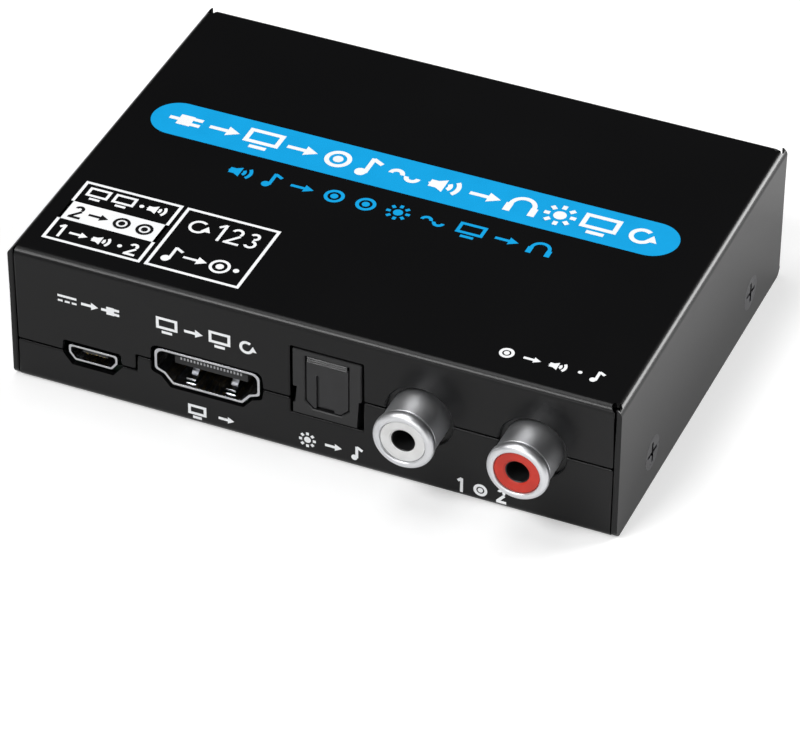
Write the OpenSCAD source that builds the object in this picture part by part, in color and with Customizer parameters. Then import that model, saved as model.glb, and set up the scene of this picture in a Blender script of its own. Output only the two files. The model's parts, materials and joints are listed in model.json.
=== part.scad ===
// Folded steel signal box: a tray and a cover round one circuit board, with sockets in both
// end panels. The origin is the centre of the underside. X runs along the panels, the front
// faces -Y and +Z is up. All lengths are millimetres.

/* [Case] */
// Width across the side panels
case_w = 90; // [89:0.5:100]
// Depth across the front and rear panels
case_d = 65; // [63:0.5:80]
// Height from the underside to the top
case_h = 22; // [20.5:0.5:30]
// Thickness of the folded sheet
sheet_t = 0.8; // [0.6:0.05:0.9]
// Inside radius of the folds
fold_r = 0.4; // [0.2:0.1:0.8]
// Gap between the end flanges and the side panels
side_gap = 0.2; // [0.15:0.05:0.4]
// Width of the seam between cover and tray
seam_gap = 0.3; // [0.2:0.05:0.5]
// Radius of the relief notch in each upper corner
relief_r = 0.7; // [0.5:0.05:0.8]
// Radius of the lower corners of the side panels
side_corner_r = 1.4; // [0.5:0.1:3]

/* [Side screws] */
// Distance of the side screws from the middle of a side panel
side_screw_y = 19.5; // [17:0.5:21]
// Height of the side screws above the underside
side_screw_z = 5.5; // [5:0.1:6]
// Radius of the side screw shank
side_screw_r = 1.45; // [1.2:0.05:1.5]
// Radius of the side screw head
side_screw_head_r = 2.6; // [2.3:0.1:3]
// Length of a side screw from its flush head
side_screw_l = 4; // [3.5:0.1:4.5]
// Width of the tapped side tabs
tab_w = 9; // [7:0.5:11]
// Height of the tapped side tabs above the underside
tab_h = 9.5; // [8.5:0.5:11]

/* [Board] */
// Height of the standoffs above the tray floor
standoff_h = 3; // [2.6:0.1:3.4]
// Width of a standoff across its flats
standoff_flats = 5; // [4.5:0.1:5.5]
// Thickness of the circuit board
board_t = 1.6; // [1.2:0.1:1.8]
// Distance of the board screws from the sides of the board
board_screw_in = 3.9; // [3.5:0.1:4.3]
// Distance of the front board screws from the middle
board_screw_front = 16; // [14:0.5:16.5]
// Distance of the rear board screws from the middle
board_screw_rear = 24; // [20:0.5:26]
// Radius of the board screw shank
board_screw_r = 1.2; // [1:0.05:1.3]

/* [Video sockets] */
// Place of the output socket, from the middle of the front panel, as a share of the width
video_out_share = -0.169; // [-0.175:0.001:-0.163]
// Place of the input socket, from the middle of the rear panel, as a share of the width
video_in_share = -0.0305; // [-0.038:0.0005:-0.022]
// Width of the shell
video_w = 15.8; // [15:0.1:16.2]
// Height of the shell
video_h = 5.65; // [5.2:0.05:6]
// Length of the shell
video_l = 12; // [11:0.5:12.5]
// Thickness of the shell
video_wall = 0.35; // [0.25:0.05:0.4]
// Width of the narrow underside of the shell
video_foot_w = 10.5; // [10:0.1:11]
// Margin between the shell and its cut-out
video_border = 0.5; // [0.3:0.05:0.7]

/* [Power socket] */
// Place of the power socket, from the middle of the front panel, as a share of the width
power_share = -0.362; // [-0.366:0.001:-0.356]
// Width of the shell
power_w = 7.4; // [7:0.1:7.8]
// Height of the shell
power_h = 2.5; // [2.3:0.1:2.8]
// Length of the shell
power_l = 5.2; // [4.8:0.1:5.8]
// Margin between the shell and its cut-out
power_border = 0.75; // [0.5:0.05:0.8]

/* [Optical outlet] */
// Place of the optical outlet, from the middle of the front panel, as a share of the width
optical_share = 0.03; // [0.025:0.001:0.035]
// Width of the housing
optical_w = 10.2; // [9.8:0.1:10.4]
// Gap between the housing and the top of the case
optical_head_gap = 3.5; // [3.2:0.1:3.7]
// Depth of the housing
optical_l = 13.5; // [13.2:0.1:14]
// Width of the plug opening
optical_mouth_w = 6.5; // [6:0.1:6.8]
// Height of the housing's wall above the plug opening
optical_brow_h = 0.8; // [0.7:0.1:1]
// Height of the lip under the plug opening
optical_lip_h = 2.7; // [2.5:0.1:2.8]

/* [Phono sockets] */
// Place of the left phono socket, from the middle of the front panel, as a share of the width
phono_share = 0.18; // [0.173:0.001:0.182]
// Distance between the two phono sockets
phono_pitch = 16.4; // [14:0.1:16.8]
// Height of the phono axis above the board
phono_axis_h = 6.3; // [5.8:0.1:6.8]
// Length of a barrel in front of the panel
phono_reach = 5.8; // [4.5:0.1:9]
// Radius of the barrel lip
phono_lip_r = 4.45; // [4.3:0.05:4.6]
// Radius of the barrel behind its lip
phono_barrel_r = 4.2; // [4.1:0.05:4.25]
// Radius of the coloured insert
phono_insert_r = 3.25; // [2.9:0.05:3.4]
// Radius of the plug hole
phono_bore_r = 1.75; // [1.6:0.05:1.8]
// Radius of the panel hole round a barrel
phono_hole_r = 4.9; // [4.75:0.05:5.1]

/* [Headphone socket] */
// Place of the headphone socket, from the middle of the rear panel, as a share of the width
phone_share = 0.31; // [0.306:0.001:0.313]
// Width of the body
phone_w = 6.2; // [5.8:0.1:6.6]
// Height of the body
phone_h = 5; // [4.8:0.1:5.4]
// Length of the body
phone_l = 12; // [11:0.5:13]
// Radius of the ring round the mouth
phone_ring_r = 2.5; // [2.35:0.05:2.7]
// Radius of the mouth
phone_bore_r = 1.8; // [1.75:0.05:1.85]
// Radius of the panel hole
phone_hole_r = 3.05; // [2.9:0.05:3.2]

/* [Slide switches] */
// Place of the two-position switch, from the middle of the rear panel, as a share of the width
two_way_share = 0.182; // [0.178:0.001:0.186]
// Travel of the two-position switch
two_way_travel = 2.4; // [1.8:0.1:2.5]
// Height of the two-position switch
two_way_h = 3.8; // [3.6:0.1:4.2]
// Width of the two-position switch
two_way_w = 8.6; // [8.4:0.1:8.8]
// Place of the three-position switch, from the middle of the rear panel, as a share of the width
three_way_share = -0.278; // [-0.283:0.001:-0.272]
// Travel of the three-position switch from end to end
three_way_travel = 4; // [3.4:0.1:4.2]
// Height of the three-position switch
three_way_h = 5.6; // [5.2:0.1:6]
// Width of the three-position switch
three_way_w = 12.7; // [12.3:0.1:12.9]
// Width of each lever
lever_w = 2.6; // [2.2:0.1:2.8]
// Height of each lever
lever_h = 2.3; // [2:0.1:2.5]
// Length of each lever in front of the panel
lever_reach = 3.2; // [2.5:0.1:4]

/* [Indicator lamps] */
// Place of a lamp, as a share of the way from the video inlet to the two-position switch
lamp_a_share = 0.605; // [0.56:0.005:0.62]
// Place of a lamp, as a share of the way from the video inlet to the three-position switch
lamp_b_share = 0.395; // [0.38:0.005:0.44]
// Height of the lamps above the board
lamp_h = 2.6; // [2.4:0.1:3]
// Radius of the lamp holes
lamp_hole_r = 1.2; // [1.1:0.05:1.4]

/* [Hidden] */
$fn = 48;

// Overrun of a cut past the face that it leaves
cut = 0.5;
// Gap all round a piece that is pushed into another
fit = 0.05;
// Gap round a solder pin in its board hole
pin_gap = 0.1;
// Length of a solder pin below the board
pin_tail = 0.8;
// Gap between a panel and a housing that stands behind it
behind_gap = 0.1;

// Steps in a rounded corner of an outline
corner_steps = 4;

function unit(v) = v / norm(v);

// The arc of radius r that rounds corner p between its neighbours a and b
function corner_arc(a, p, b, r) =
    let (u = unit(a - p), v = unit(b - p), half = acos(u * v) / 2,
        centre = p + unit(u + v) * r / sin(half),
        first = u * r / tan(half) + p - centre, last = v * r / tan(half) + p - centre)
    [for (i = [0:corner_steps]) centre + unit(first + (last - first) * i / corner_steps) * r];

// An outline with every corner rounded by its own radius
function rounded(points, radii) = let (n = len(points))
    [for (i = [0:n - 1])
        each corner_arc(points[(i + n - 1) % n], points[i], points[(i + 1) % n], radii[i])];

function outward(a, b) = let (d = unit(b - a)) [d[1], -d[0]];

// An anticlockwise outline moved outwards by g
function grown(points, g) = let (n = len(points))
    [for (i = [0:n - 1])
        let (before = outward(points[(i + n - 1) % n], points[i]),
            after = outward(points[i], points[(i + 1) % n]))
        points[i] + g * (before + after) / (1 + before * after)];

// The outline's own mirror image joined to it, from its right half running upwards
function mirrored(half) = concat(half,
    [for (i = [len(half) - 1:-1:0]) [-half[i][0], half[i][1]]]);

// Case values
fold_out = fold_r + sheet_t;
half_w = case_w / 2;
half_d = case_d / 2;
flange_half = half_w - sheet_t - side_gap;
board_z = sheet_t + standoff_h;
board_top = board_z + board_t;

// Places of the sockets, switches and lamps across the panels
power_x = power_share * case_w;
video_out_x = video_out_share * case_w;
optical_x = optical_share * case_w;
phono_x = phono_share * case_w;
phone_x = phone_share * case_w;
two_way_x = two_way_share * case_w;
video_in_x = video_in_share * case_w;
three_way_x = three_way_share * case_w;
video_in_reach = video_w / 2 + video_border;
lamp_a_x = (1 - lamp_a_share) * (video_in_x + video_in_reach)
    + lamp_a_share * (two_way_x - two_way_w / 2);
lamp_b_x = (1 - lamp_b_share) * (video_in_x - video_in_reach)
    + lamp_b_share * (three_way_x + three_way_w / 2);

// Side screw values
tab_relief = 0.8;
tab_corner_r = 1.5;
tab_collar_r = 2.3;
tab_collar_l = 1.2;
side_screw_tip_gap = 0.5;
side_screw_cone_h = 0.7;
recess_w = 0.55;
recess_d = 0.9;
recess_span_share = 0.62;

// Board values
board_gap = 0.7;
board_corner_r = 1;
board_w = case_w - 2 * (side_screw_l + side_screw_tip_gap);
board_d = case_d - 2 * (sheet_t + board_gap);
board_screw_gap = 0.35;
board_screw_head_r = 2.3;
board_screw_head_h = 1.5;
standoff_shank_r = 2;
board_screw_bite = 2.4;
board_screw_x = board_w / 2 - board_screw_in;
board_screw_places = [for (sx = [-1, 1], y = [-board_screw_front, board_screw_rear])
    [sx * board_screw_x, y]];

// Video socket values, with x across the socket and heights above the board
video_lift = 0.4;
video_shoulder_h = 2;
video_knee_h = 1.5;
video_knee_w = 13;
video_recess = 0.2;
video_outline = mirrored([[video_foot_w / 2, video_lift],
    [video_knee_w / 2, video_lift + video_knee_h],
    [video_w / 2, video_lift + video_shoulder_h], [video_w / 2, video_lift + video_h]]);
video_top_r = 1;
video_side_r = 0.6;
video_foot_r = 0.5;
video_radii = [video_foot_r, video_foot_r, video_side_r, video_top_r, video_top_r,
    video_side_r, video_foot_r, video_foot_r];
video_tongue_w = 11;
video_tongue_t = 1.2;
video_tongue_rise_share = 0.58;
video_tongue_z = video_lift + video_h * video_tongue_rise_share - video_tongue_t / 2;
video_tongue_set = 1.4;
video_block_l = 2.6;
video_contact_t = 0.15;
video_contact_w = 0.4;
video_contact_pitch = 1;
video_contact_count = 10;
video_contact_set = 0.4;
video_foot_l = 0.9;
video_leg_l = 1.2;
video_leg_places = [2.6, 9.4];
video_spring_w = 1.4;
video_spring_l = 4.6;
video_spring_x = 3;
video_spring_set = 1.3;
video_spring_slot = 0.25;
video_spring_angle = 6;
video_back = video_recess + video_l;
video_tongue_y = video_recess + video_tongue_set;

// Power socket values
power_wall = 0.3;
power_recess = 0.25;
power_foot_w = 5.6;
power_shoulder_h = 1.15;
power_outline = mirrored([[power_foot_w / 2, 0], [power_w / 2, power_shoulder_h],
    [power_w / 2, power_h]]);
power_foot_r = 0.3;
power_top_r = 0.4;
power_radii = [power_foot_r, power_foot_r, power_top_r, power_top_r, power_foot_r,
    power_foot_r];
power_tongue_w = 3.8;
power_tongue_t = 0.6;
power_tongue_rise_share = 0.45;
power_tongue_z = power_h * power_tongue_rise_share;
power_tongue_set = 0.7;
power_block_l = 1.4;
power_contact_w = 0.3;
power_contact_t = 0.1;
power_contact_pitch = 0.65;
power_contact_count = 5;
power_leg_l = 1.2;
power_leg_y = 2.4;
power_back = power_recess + power_l;

// Heights of the stepped seam, on the centre lines of the sockets that it meets
seam_rise_share = 0.6;
seam_low = board_top + power_h / 2;
seam_mid = board_top + video_lift + video_h * seam_rise_share;
seam_high = board_top + phono_axis_h;
seam_front_steps = [(power_x + power_w / 2 + power_border
    + video_out_x - video_w / 2 - video_border) / 2, optical_x];
seam_front_heights = [seam_low, seam_mid, seam_high];
seam_rear_steps = [lamp_a_x];
seam_rear_heights = [seam_mid, seam_low];

// Optical outlet values
optical_h = case_h - sheet_t - board_top - optical_head_gap;
optical_mouth_h = optical_h - optical_brow_h - optical_lip_h;
optical_recess = 0.15;
optical_side_gap = 0.35;
optical_top_gap = 0.4;
optical_sill_h = 1.3;
optical_sill_gap = 0.1;
optical_waist_in = 0.55;
optical_face_t = 0.9;
optical_bevel = 1.2;
optical_cave_w = 7.3;
optical_transmitter_l = 2;
optical_cave_l = optical_l - optical_face_t - optical_transmitter_l;
optical_rear_w = 8.4;
optical_rear_z = 1;
optical_roof_t = 1.7;
optical_window_r = 1.3;
optical_pin_w = 0.5;
optical_pin_pitch = 2.54;
optical_pin_y = optical_recess + optical_l + optical_pin_w;
shutter_gap = 0.15;
shutter_side_gap = 0.2;
shutter_t = 0.7;
shutter_roll_r = 0.6;
shutter_pin_r = 0.42;
shutter_pin_l = 0.8;
shutter_axis_drop = 0.55;
shutter_panel_drop = 0.95;
shutter_lap = 0.25;
shutter_slot_w = 0.4;
shutter_slot_x = -1.4;
shutter_slot_d = 0.4;
shutter_slot_top = 3;
shutter_notch_w = 2.6;
shutter_notch_h = 0.7;
optical_mouth_top = optical_lip_h + optical_mouth_h;
optical_rear_h = optical_h - optical_roof_t - optical_rear_z;
optical_waist_share = 0.488;
optical_waist_z = optical_h * optical_waist_share;
optical_left_notch_share = 0.228;
optical_left_notch_h = optical_h * optical_left_notch_share;
optical_back = optical_recess + optical_face_t;
shutter_axis_z = optical_mouth_top - shutter_axis_drop;
shutter_axis_y = optical_back + shutter_gap + shutter_roll_r;
optical_cave_top = shutter_axis_z + shutter_roll_r + shutter_gap;
spring_wire_r = 0.1;
spring_coil_r = 0.62;
spring_turns = 3;
spring_pitch = 0.27;
spring_room = 1.1;
spring_clear = 0.2;
spring_leg_l = 3.2;
spring_sides = 6;
spring_turn_steps = 12;

// Phono socket values
phono_housing_side = 5.3;
phono_housing_top = 5.2;
phono_housing_l = 11;
phono_lip_l = 1.2;
phono_lip_round = 0.75;
phono_lip_edge = 0.3;
phono_groove_l = 0.45;
phono_groove_d = 0.3;
phono_seat_l = 3;
phono_insert_set = 0.25;
phono_funnel_r = 2.3;
phono_funnel_l = 0.5;
phono_contact_wall = 0.3;
phono_contact_l = 6;
phono_lug_t = 0.4;
phono_lug_w = 1.6;
phono_front = sheet_t + behind_gap;
phono_back = phono_front + phono_housing_l;

// Headphone socket values
phone_axis_h = 2.4;
phone_panel_gap = 0.2;
phone_spigot_r = 2.15;
phone_spigot_l = 1.4;
phone_body_bore_r = 2.05;
phone_contact_t = 0.2;
phone_contact_w = 1.4;
phone_contact_places = [3.4, 6.2, 9];
phone_foot_l = 1.2;
phone_front = sheet_t + phone_panel_gap;

// Slide switch values
switch_front = 1;
switch_wall = 0.3;
switch_d = 4.2;
switch_base_t = 1;
switch_gap = 0.15;
switch_slot_gap = 0.2;
switch_clip_t = 0.2;
switch_clip_w = 3.4;
switch_bump_r = 0.55;
switch_bump_x = 1.2;
switch_pad_t = 0.12;
switch_pad_w = 1.1;
switch_pin_t = 0.3;
switch_pin_w = 0.6;
switch_crimp_w = 1.3;
switch_crimp_h = 0.8;
switch_leg_w = 0.9;
switch_pin_out = 0.35;
switch_bump_gap = 0.1;
switch_pin_y = switch_front + switch_d + switch_pin_out;
slider_y = switch_front + switch_wall + switch_gap;
slider_back = switch_front + switch_d - switch_base_t - switch_pad_t - switch_bump_gap
    - switch_bump_r - switch_clip_t;
switch_block_d = slider_back - slider_y;
lever_chamfer = 0.45;
lever_notch_d = 1.2;
lever_prong_share = 0.3;
panel_slot_gap = 0.3;
two_way_pin_xs = [-two_way_travel, 0, two_way_travel];
three_way_pin_xs = [for (i = [-1.5:1:1.5]) i * three_way_travel / 2];

// Lamp values
lamp_r = 0.9;
lamp_front = 1.2;
lamp_stem = 1;
lamp_holder_w = 2.4;
lamp_holder_d = 2.4;
lamp_holder_rise = 1.3;

// Inner parts: sizes, and places as shares of the board's width and depth
chip_lift = 0.1;
chip_mark_r = 0.5;
chip_mark_d = 0.1;
chip_mark_in = 1.2;
lead_t = 0.15;
lead_rise_share = 0.55;
lead_foot = 0.6;
lead_shoulder = 0.5;
processor_w = 14;
processor_t = 1;
processor_place_shares = [-0.06, 0];
sink_w = 14;
sink_h = 6;
sink_base_t = 1.5;
sink_fins = 6;
sink_fin_t = 0.9;
converter_size = [9.9, 3.9, 1.5];
converter_leads = 8;
converter_pitch = 1.27;
converter_lead_w = 0.4;
converter_place_shares = [0.27, -0.12];
controller_size = [7, 7, 1.4];
controller_leads = 12;
controller_pitch = 0.5;
controller_lead_w = 0.22;
controller_place_shares = [0.2, 0.13];
crystal_size = [5, 3.2, 1.2];
crystal_place_shares = [[0.09, 0.16], [0.075, -0.2]];
can_r = 3.15;
can_h = 5;
can_groove_d = 0.25;
can_groove_z = 1.1;
can_round = 0.4;
can_base = 6.6;
can_base_t = 0.7;
can_base_chamfer = 1.2;
can_place_shares = [[-0.38, -0.12], [-0.38, 0.04], [0.4, -0.1], [0.4, 0.05]];
inductor_w = 6.5;
inductor_h = 3;
inductor_round = 1.2;
inductor_dish_r = 2.2;
inductor_dish_d = 0.3;
inductor_place_shares = [-0.27, -0.16];
regulator_size = [6.5, 3.5, 1.6];
regulator_tab_w = 3;
regulator_tab_l = 1.6;
regulator_tab_t = 0.3;
regulator_leg_w = 0.7;
regulator_leg_pitch = 2.3;
regulator_place_shares = [[-0.27, 0], [-0.27, 0.16]];
ceramic_size = [1.6, 0.8, 0.8];
ceramic_ring = 10.4;
ceramic_pitch = 2.6;
ceramic_per_side = 5;
header_pitch = 2.54;
header_pins = 4;
header_h = 2.5;
header_pin_w = 0.64;
header_pin_rise = 6;
header_place_shares = [0.36, 0.2];

paint_black = "#1a1a1b";
plastic_black = "#161617";
zinc = "#9a9ca0";
nickel = "#c9cacd";
steel = "#b4b6ba";
gold = "#c8a24a";

// Turns a flat outline in X and Z into a slab of length l along Y, centred on y = 0
module along_y(l) rotate([90, 0, 0]) linear_extrude(l, center = true) children();

// Turns a flat outline in Y and Z into a bar of length l along X, centred on x = 0
module along_x(l) rotate([90, 0, 90]) linear_extrude(l, center = true) children();

// Sets a socket, drawn with its mouth at y = 0 and its depth towards +Y, into the front panel
module at_front(x) translate([x, -half_d, board_top]) children();

// Sets a socket drawn the same way into the rear panel
module at_rear(x) translate([x, half_d, board_top]) rotate(180) children();

// Sets a part on the board at a share of its width and depth
module on_board(shares) translate([shares[0] * board_w, shares[1] * board_d, board_top])
    children();

// A box centred on x = 0 and y = 0 that stands on z = 0
module block(size) translate([-size[0] / 2, -size[1] / 2, 0]) cube(size);

// A box centred on x = 0 that runs from y and z upwards
module bar(w, y, l, z, h) translate([-w / 2, y, z]) cube([w, l, h]);

module cross_recess(r) {
    for (turn = [0, 90])
        rotate(turn) translate([0, 0, -recess_d]) block([2 * r * recess_span_share, recess_w,
            recess_d + cut]);
    translate([0, 0, -recess_d]) cylinder(h = recess_d + cut, r1 = recess_w / 2, r2 = recess_w);
}

// A flat with round upper corners
module arch2d(w, h, r) {
    translate([-w / 2, 0]) square([w, h - r]);
    translate([-w / 2 + r, 0]) square([w - 2 * r, h]);
    for (side = [-1, 1]) translate([side * (w / 2 - r), h - r]) circle(r);
}

// Section of a sheet folded down along both sides
module channel2d(w, h) difference() {
    arch2d(w, h, fold_out);
    translate([0, -cut]) arch2d(w - 2 * sheet_t, h - sheet_t + cut, fold_r);
}

// The stepped edge of a panel: side is 1 for what lies above the seam and -1 for what lies below
function seam_edge(steps, heights, side) = concat(
    [[-case_w, heights[0] + side * seam_gap / 2]],
    [for (i = [0:len(steps) - 1])
        let (x = steps[i] - side * sign(heights[i + 1] - heights[i]) * seam_gap / 2)
        each [[x, heights[i] + side * seam_gap / 2], [x, heights[i + 1] + side * seam_gap / 2]]],
    [[case_w, heights[len(heights) - 1] + side * seam_gap / 2]]);

module seam_mask2d(steps, heights, side) {
    far = side > 0 ? case_h + cut : -cut;
    polygon(concat(seam_edge(steps, heights, side), [[case_w, far], [-case_w, far]]));
}

// Everything above or below the seams of both end panels
module seam_mask(side) {
    translate([0, -half_d / 2]) along_y(half_d + 2 * cut)
        seam_mask2d(seam_front_steps, seam_front_heights, side);
    translate([0, half_d / 2]) along_y(half_d + 2 * cut)
        seam_mask2d(seam_rear_steps, seam_rear_heights, side);
}

module video_cutout2d() polygon(rounded(grown(video_outline, video_border), video_radii));

module slot2d(travel, h) translate([0, h / 2]) square([lever_w + travel + 2 * switch_slot_gap
    + fit * 2, lever_h + 2 * panel_slot_gap], center = true);

module front_cutouts2d() translate([0, board_top]) {
    translate([power_x, 0]) polygon(rounded(grown(power_outline, power_border), power_radii));
    translate([video_out_x, 0]) video_cutout2d();
    translate([optical_x - optical_w / 2 - optical_side_gap, optical_sill_h])
        square([optical_w + 2 * optical_side_gap, optical_h + optical_top_gap - optical_sill_h]);
    for (i = [0, 1]) translate([phono_x + i * phono_pitch, phono_axis_h]) circle(phono_hole_r);
}

module rear_cutouts2d() translate([0, board_top]) {
    translate([phone_x, phone_axis_h]) circle(phone_hole_r);
    translate([two_way_x, 0]) slot2d(two_way_travel, two_way_h);
    translate([three_way_x, 0]) slot2d(three_way_travel, three_way_h);
    translate([video_in_x, 0]) video_cutout2d();
    for (x = [lamp_a_x, lamp_b_x]) translate([x, lamp_h]) circle(lamp_hole_r);
}

module panel_cutouts() {
    translate([0, -half_d + sheet_t / 2]) along_y(sheet_t + 2 * cut) front_cutouts2d();
    translate([0, half_d - sheet_t / 2]) along_y(sheet_t + 2 * cut) rear_cutouts2d();
}

// Places the children at each side screw, with +Z pointing out of the side panel
module at_side_screws() for (sx = [-1, 1], sy = [-1, 1])
    translate([sx * half_w, sy * side_screw_y, side_screw_z]) rotate([0, sx * 90, 0]) children();

module top_cover() color(paint_black) difference() {
    union() {
        difference() {
            along_y(case_d) channel2d(case_w, case_h);
            for (sy = [-1, 1]) translate([-flange_half - side_gap,
                sy * (half_d - fold_out / 2) - fold_out / 2 - (sy < 0 ? cut : 0),
                case_h - fold_out - cut])
                cube([2 * (flange_half + side_gap), fold_out + cut, fold_out + 2 * cut]);
        }
        intersection() {
            along_x(2 * flange_half) channel2d(case_d, case_h);
            seam_mask(1);
        }
    }
    for (sx = [-1, 1], sy = [-1, 1])
        translate([sx * flange_half, sy * (half_d - sheet_t), case_h - fold_out - relief_r])
            cylinder(h = fold_out + relief_r + cut, r = relief_r);
    for (sy = [0, 1]) mirror([0, sy, 0]) translate([0, -half_d, 0])
        along_x(case_w + 2 * cut) difference() {
            translate([-cut, -cut]) square(side_corner_r + cut);
            translate([side_corner_r, side_corner_r]) circle(side_corner_r);
        }
    at_side_screws() {
        translate([0, 0, -side_screw_cone_h]) cylinder(h = side_screw_cone_h,
            r1 = side_screw_r + fit, r2 = side_screw_head_r + fit);
        translate([0, 0, -sheet_t - cut])
            cylinder(h = sheet_t + 2 * cut, r = side_screw_r + fit);
        cylinder(h = cut, r = side_screw_head_r + fit);
    }
    panel_cutouts();
}

module tray_tabs() {
    for (sy = [-1, 1]) translate([0, sy * side_screw_y, 0]) difference() {
        translate([0, 0, tab_h]) mirror([0, 0, 1]) along_y(tab_w)
            channel2d(2 * flange_half, tab_h);
        for (turn = [0, 180]) rotate(turn) translate([0, tab_w / 2, tab_h])
            along_x(2 * flange_half + 2 * cut) difference() {
                translate([-tab_corner_r, -tab_corner_r])
                    square(tab_corner_r + cut);
                translate([-tab_corner_r, -tab_corner_r]) circle(tab_corner_r);
            }
    }
    for (sx = [-1, 1], sy = [-1, 1])
        translate([sx * (flange_half - sheet_t), sy * side_screw_y, side_screw_z])
            rotate([0, -sx * 90, 0]) cylinder(h = tab_collar_l, r = tab_collar_r);
}

module base_tray() color(paint_black) difference() {
    union() {
        difference() {
            intersection() {
                translate([0, 0, case_h]) mirror([0, 0, 1])
                    along_x(2 * flange_half) channel2d(case_d, case_h);
                seam_mask(-1);
            }
            for (sx = [-1, 1], sy = [-1, 1])
                translate([sx * flange_half - fold_out, sy * side_screw_y - tab_w / 2
                    - tab_relief, -cut])
                    cube([2 * fold_out, tab_w + 2 * tab_relief, sheet_t + 2 * cut]);
        }
        tray_tabs();
    }
    at_side_screws() translate([0, 0, -side_screw_l - cut])
        cylinder(h = side_screw_l + cut, r = side_screw_r + fit);
    for (p = board_screw_places) translate([p[0], p[1], -cut])
        cylinder(h = sheet_t + 2 * cut, r = standoff_shank_r + fit);
    panel_cutouts();
}

module cover_screws() color(zinc) at_side_screws() difference() {
    union() {
        translate([0, 0, -side_screw_cone_h]) cylinder(h = side_screw_cone_h, r1 = side_screw_r,
            r2 = side_screw_head_r);
        translate([0, 0, -side_screw_l]) cylinder(h = side_screw_l - side_screw_cone_h,
            r = side_screw_r);
    }
    cross_recess(side_screw_head_r);
}

module board_standoffs() color(zinc) for (p = board_screw_places) translate([p[0], p[1], 0])
    difference() {
        union() {
            cylinder(h = sheet_t, r = standoff_shank_r);
            translate([0, 0, sheet_t])
                cylinder(h = standoff_h, d = standoff_flats / cos(30), $fn = 6);
        }
        translate([0, 0, -cut]) cylinder(h = board_z + 2 * cut, r = board_screw_r + fit);
    }

module board_screws() color(zinc) for (p = board_screw_places)
    translate([p[0], p[1], board_top]) difference() {
        union() {
            cylinder(h = board_screw_head_h, r = board_screw_head_r);
            translate([0, 0, -board_t - board_screw_bite])
                cylinder(h = board_t + board_screw_bite, r = board_screw_r);
        }
        translate([0, 0, board_screw_head_h]) cross_recess(board_screw_head_r);
    }

// Slots for the solder legs of one video socket, drawn as the socket is
module video_leg_slots() for (y = video_leg_places, sx = [-1, 1])
    translate([sx * (video_w / 2 - video_wall / 2), y, -board_t - cut])
        block([video_wall + 2 * pin_gap, video_leg_l + 2 * pin_gap, board_t + 2 * cut]);

module power_leg_slots() for (sx = [-1, 1])
    translate([sx * (power_w / 2 - power_wall / 2), power_leg_y, -board_t - cut])
        block([power_wall + 2 * pin_gap, power_leg_l + 2 * pin_gap, board_t + 2 * cut]);

module switch_pin_slots(xs, w) translate([0, 0, -board_t - cut]) {
    for (x = xs) translate([x, switch_pin_y, 0])
        block([switch_pin_w + 2 * pin_gap, switch_pin_t + 2 * pin_gap, board_t + 2 * cut]);
    for (sx = [-1, 1]) translate([sx * (w / 2 - switch_wall / 2), switch_front + switch_d / 2, 0])
        block([switch_wall + 2 * pin_gap, switch_leg_w + 2 * pin_gap, board_t + 2 * cut]);
}

module phono_lug_slots() for (i = [0, 1])
    translate([i * phono_pitch, phono_back + phono_lug_t / 2, -board_t - cut])
        block([phono_lug_w + 2 * pin_gap, phono_lug_t + 2 * pin_gap, board_t + 2 * cut]);

module optical_pin_slots() for (i = [-1:1])
    translate([i * optical_pin_pitch, optical_pin_y, -board_t - cut])
        block([optical_pin_w + 2 * pin_gap, optical_pin_w + 2 * pin_gap, board_t + 2 * cut]);

module header_pin_xy() for (i = [0:header_pins - 1])
    translate([(i - (header_pins - 1) / 2) * header_pitch, 0, 0]) children();

module board_outline2d() {
    square([board_w - 2 * board_corner_r, board_d], center = true);
    square([board_w, board_d - 2 * board_corner_r], center = true);
    for (sx = [-1, 1], sy = [-1, 1])
        translate([sx * (board_w / 2 - board_corner_r), sy * (board_d / 2 - board_corner_r)])
            circle(board_corner_r);
}

module circuit_board() color("#1d5a34") difference() {
    translate([0, 0, board_z]) linear_extrude(board_t) board_outline2d();
    for (p = board_screw_places) translate([p[0], p[1], board_z - cut])
        cylinder(h = board_t + 2 * cut, r = board_screw_r + board_screw_gap);
    at_front(video_out_x) video_leg_slots();
    at_rear(video_in_x) video_leg_slots();
    at_front(power_x) power_leg_slots();
    at_rear(two_way_x) switch_pin_slots(two_way_pin_xs, two_way_w);
    at_rear(three_way_x) switch_pin_slots(three_way_pin_xs, three_way_w);
    at_front(phono_x) phono_lug_slots();
    at_front(optical_x) optical_pin_slots();
    on_board(header_place_shares) header_pin_xy() translate([0, 0, -board_t - cut])
        block([header_pin_w + 2 * pin_gap, header_pin_w + 2 * pin_gap, board_t + 2 * cut]);
}

// A leaf spring cut free in the floor of the video shell and bent up into the socket
module video_spring(sx) translate([sx * video_spring_x, video_spring_set + video_spring_l,
    video_lift]) rotate([-video_spring_angle, 0, 0])
    bar(video_spring_w, -video_spring_l, video_spring_l, 0, video_wall);

module video_shell() {
    difference() {
        translate([0, video_recess + video_l / 2, 0]) along_y(video_l) difference() {
            polygon(rounded(video_outline, video_radii));
            polygon(rounded(grown(video_outline, -video_wall), video_radii));
        }
        for (sx = [-1, 1]) translate([sx * video_spring_x, 0, 0])
            bar(video_spring_w + 2 * video_spring_slot, video_spring_set - video_spring_slot,
                video_spring_l, video_lift - cut, video_wall + 2 * cut);
    }
    for (sx = [-1, 1]) video_spring(sx);
    for (y = video_leg_places, sx = [-1, 1])
        translate([sx * (video_w / 2 - video_wall / 2), y, -board_t - pin_tail])
            block([video_wall, video_leg_l,
                board_t + pin_tail + video_lift + video_shoulder_h + video_leg_l / 2]);
}

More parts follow.
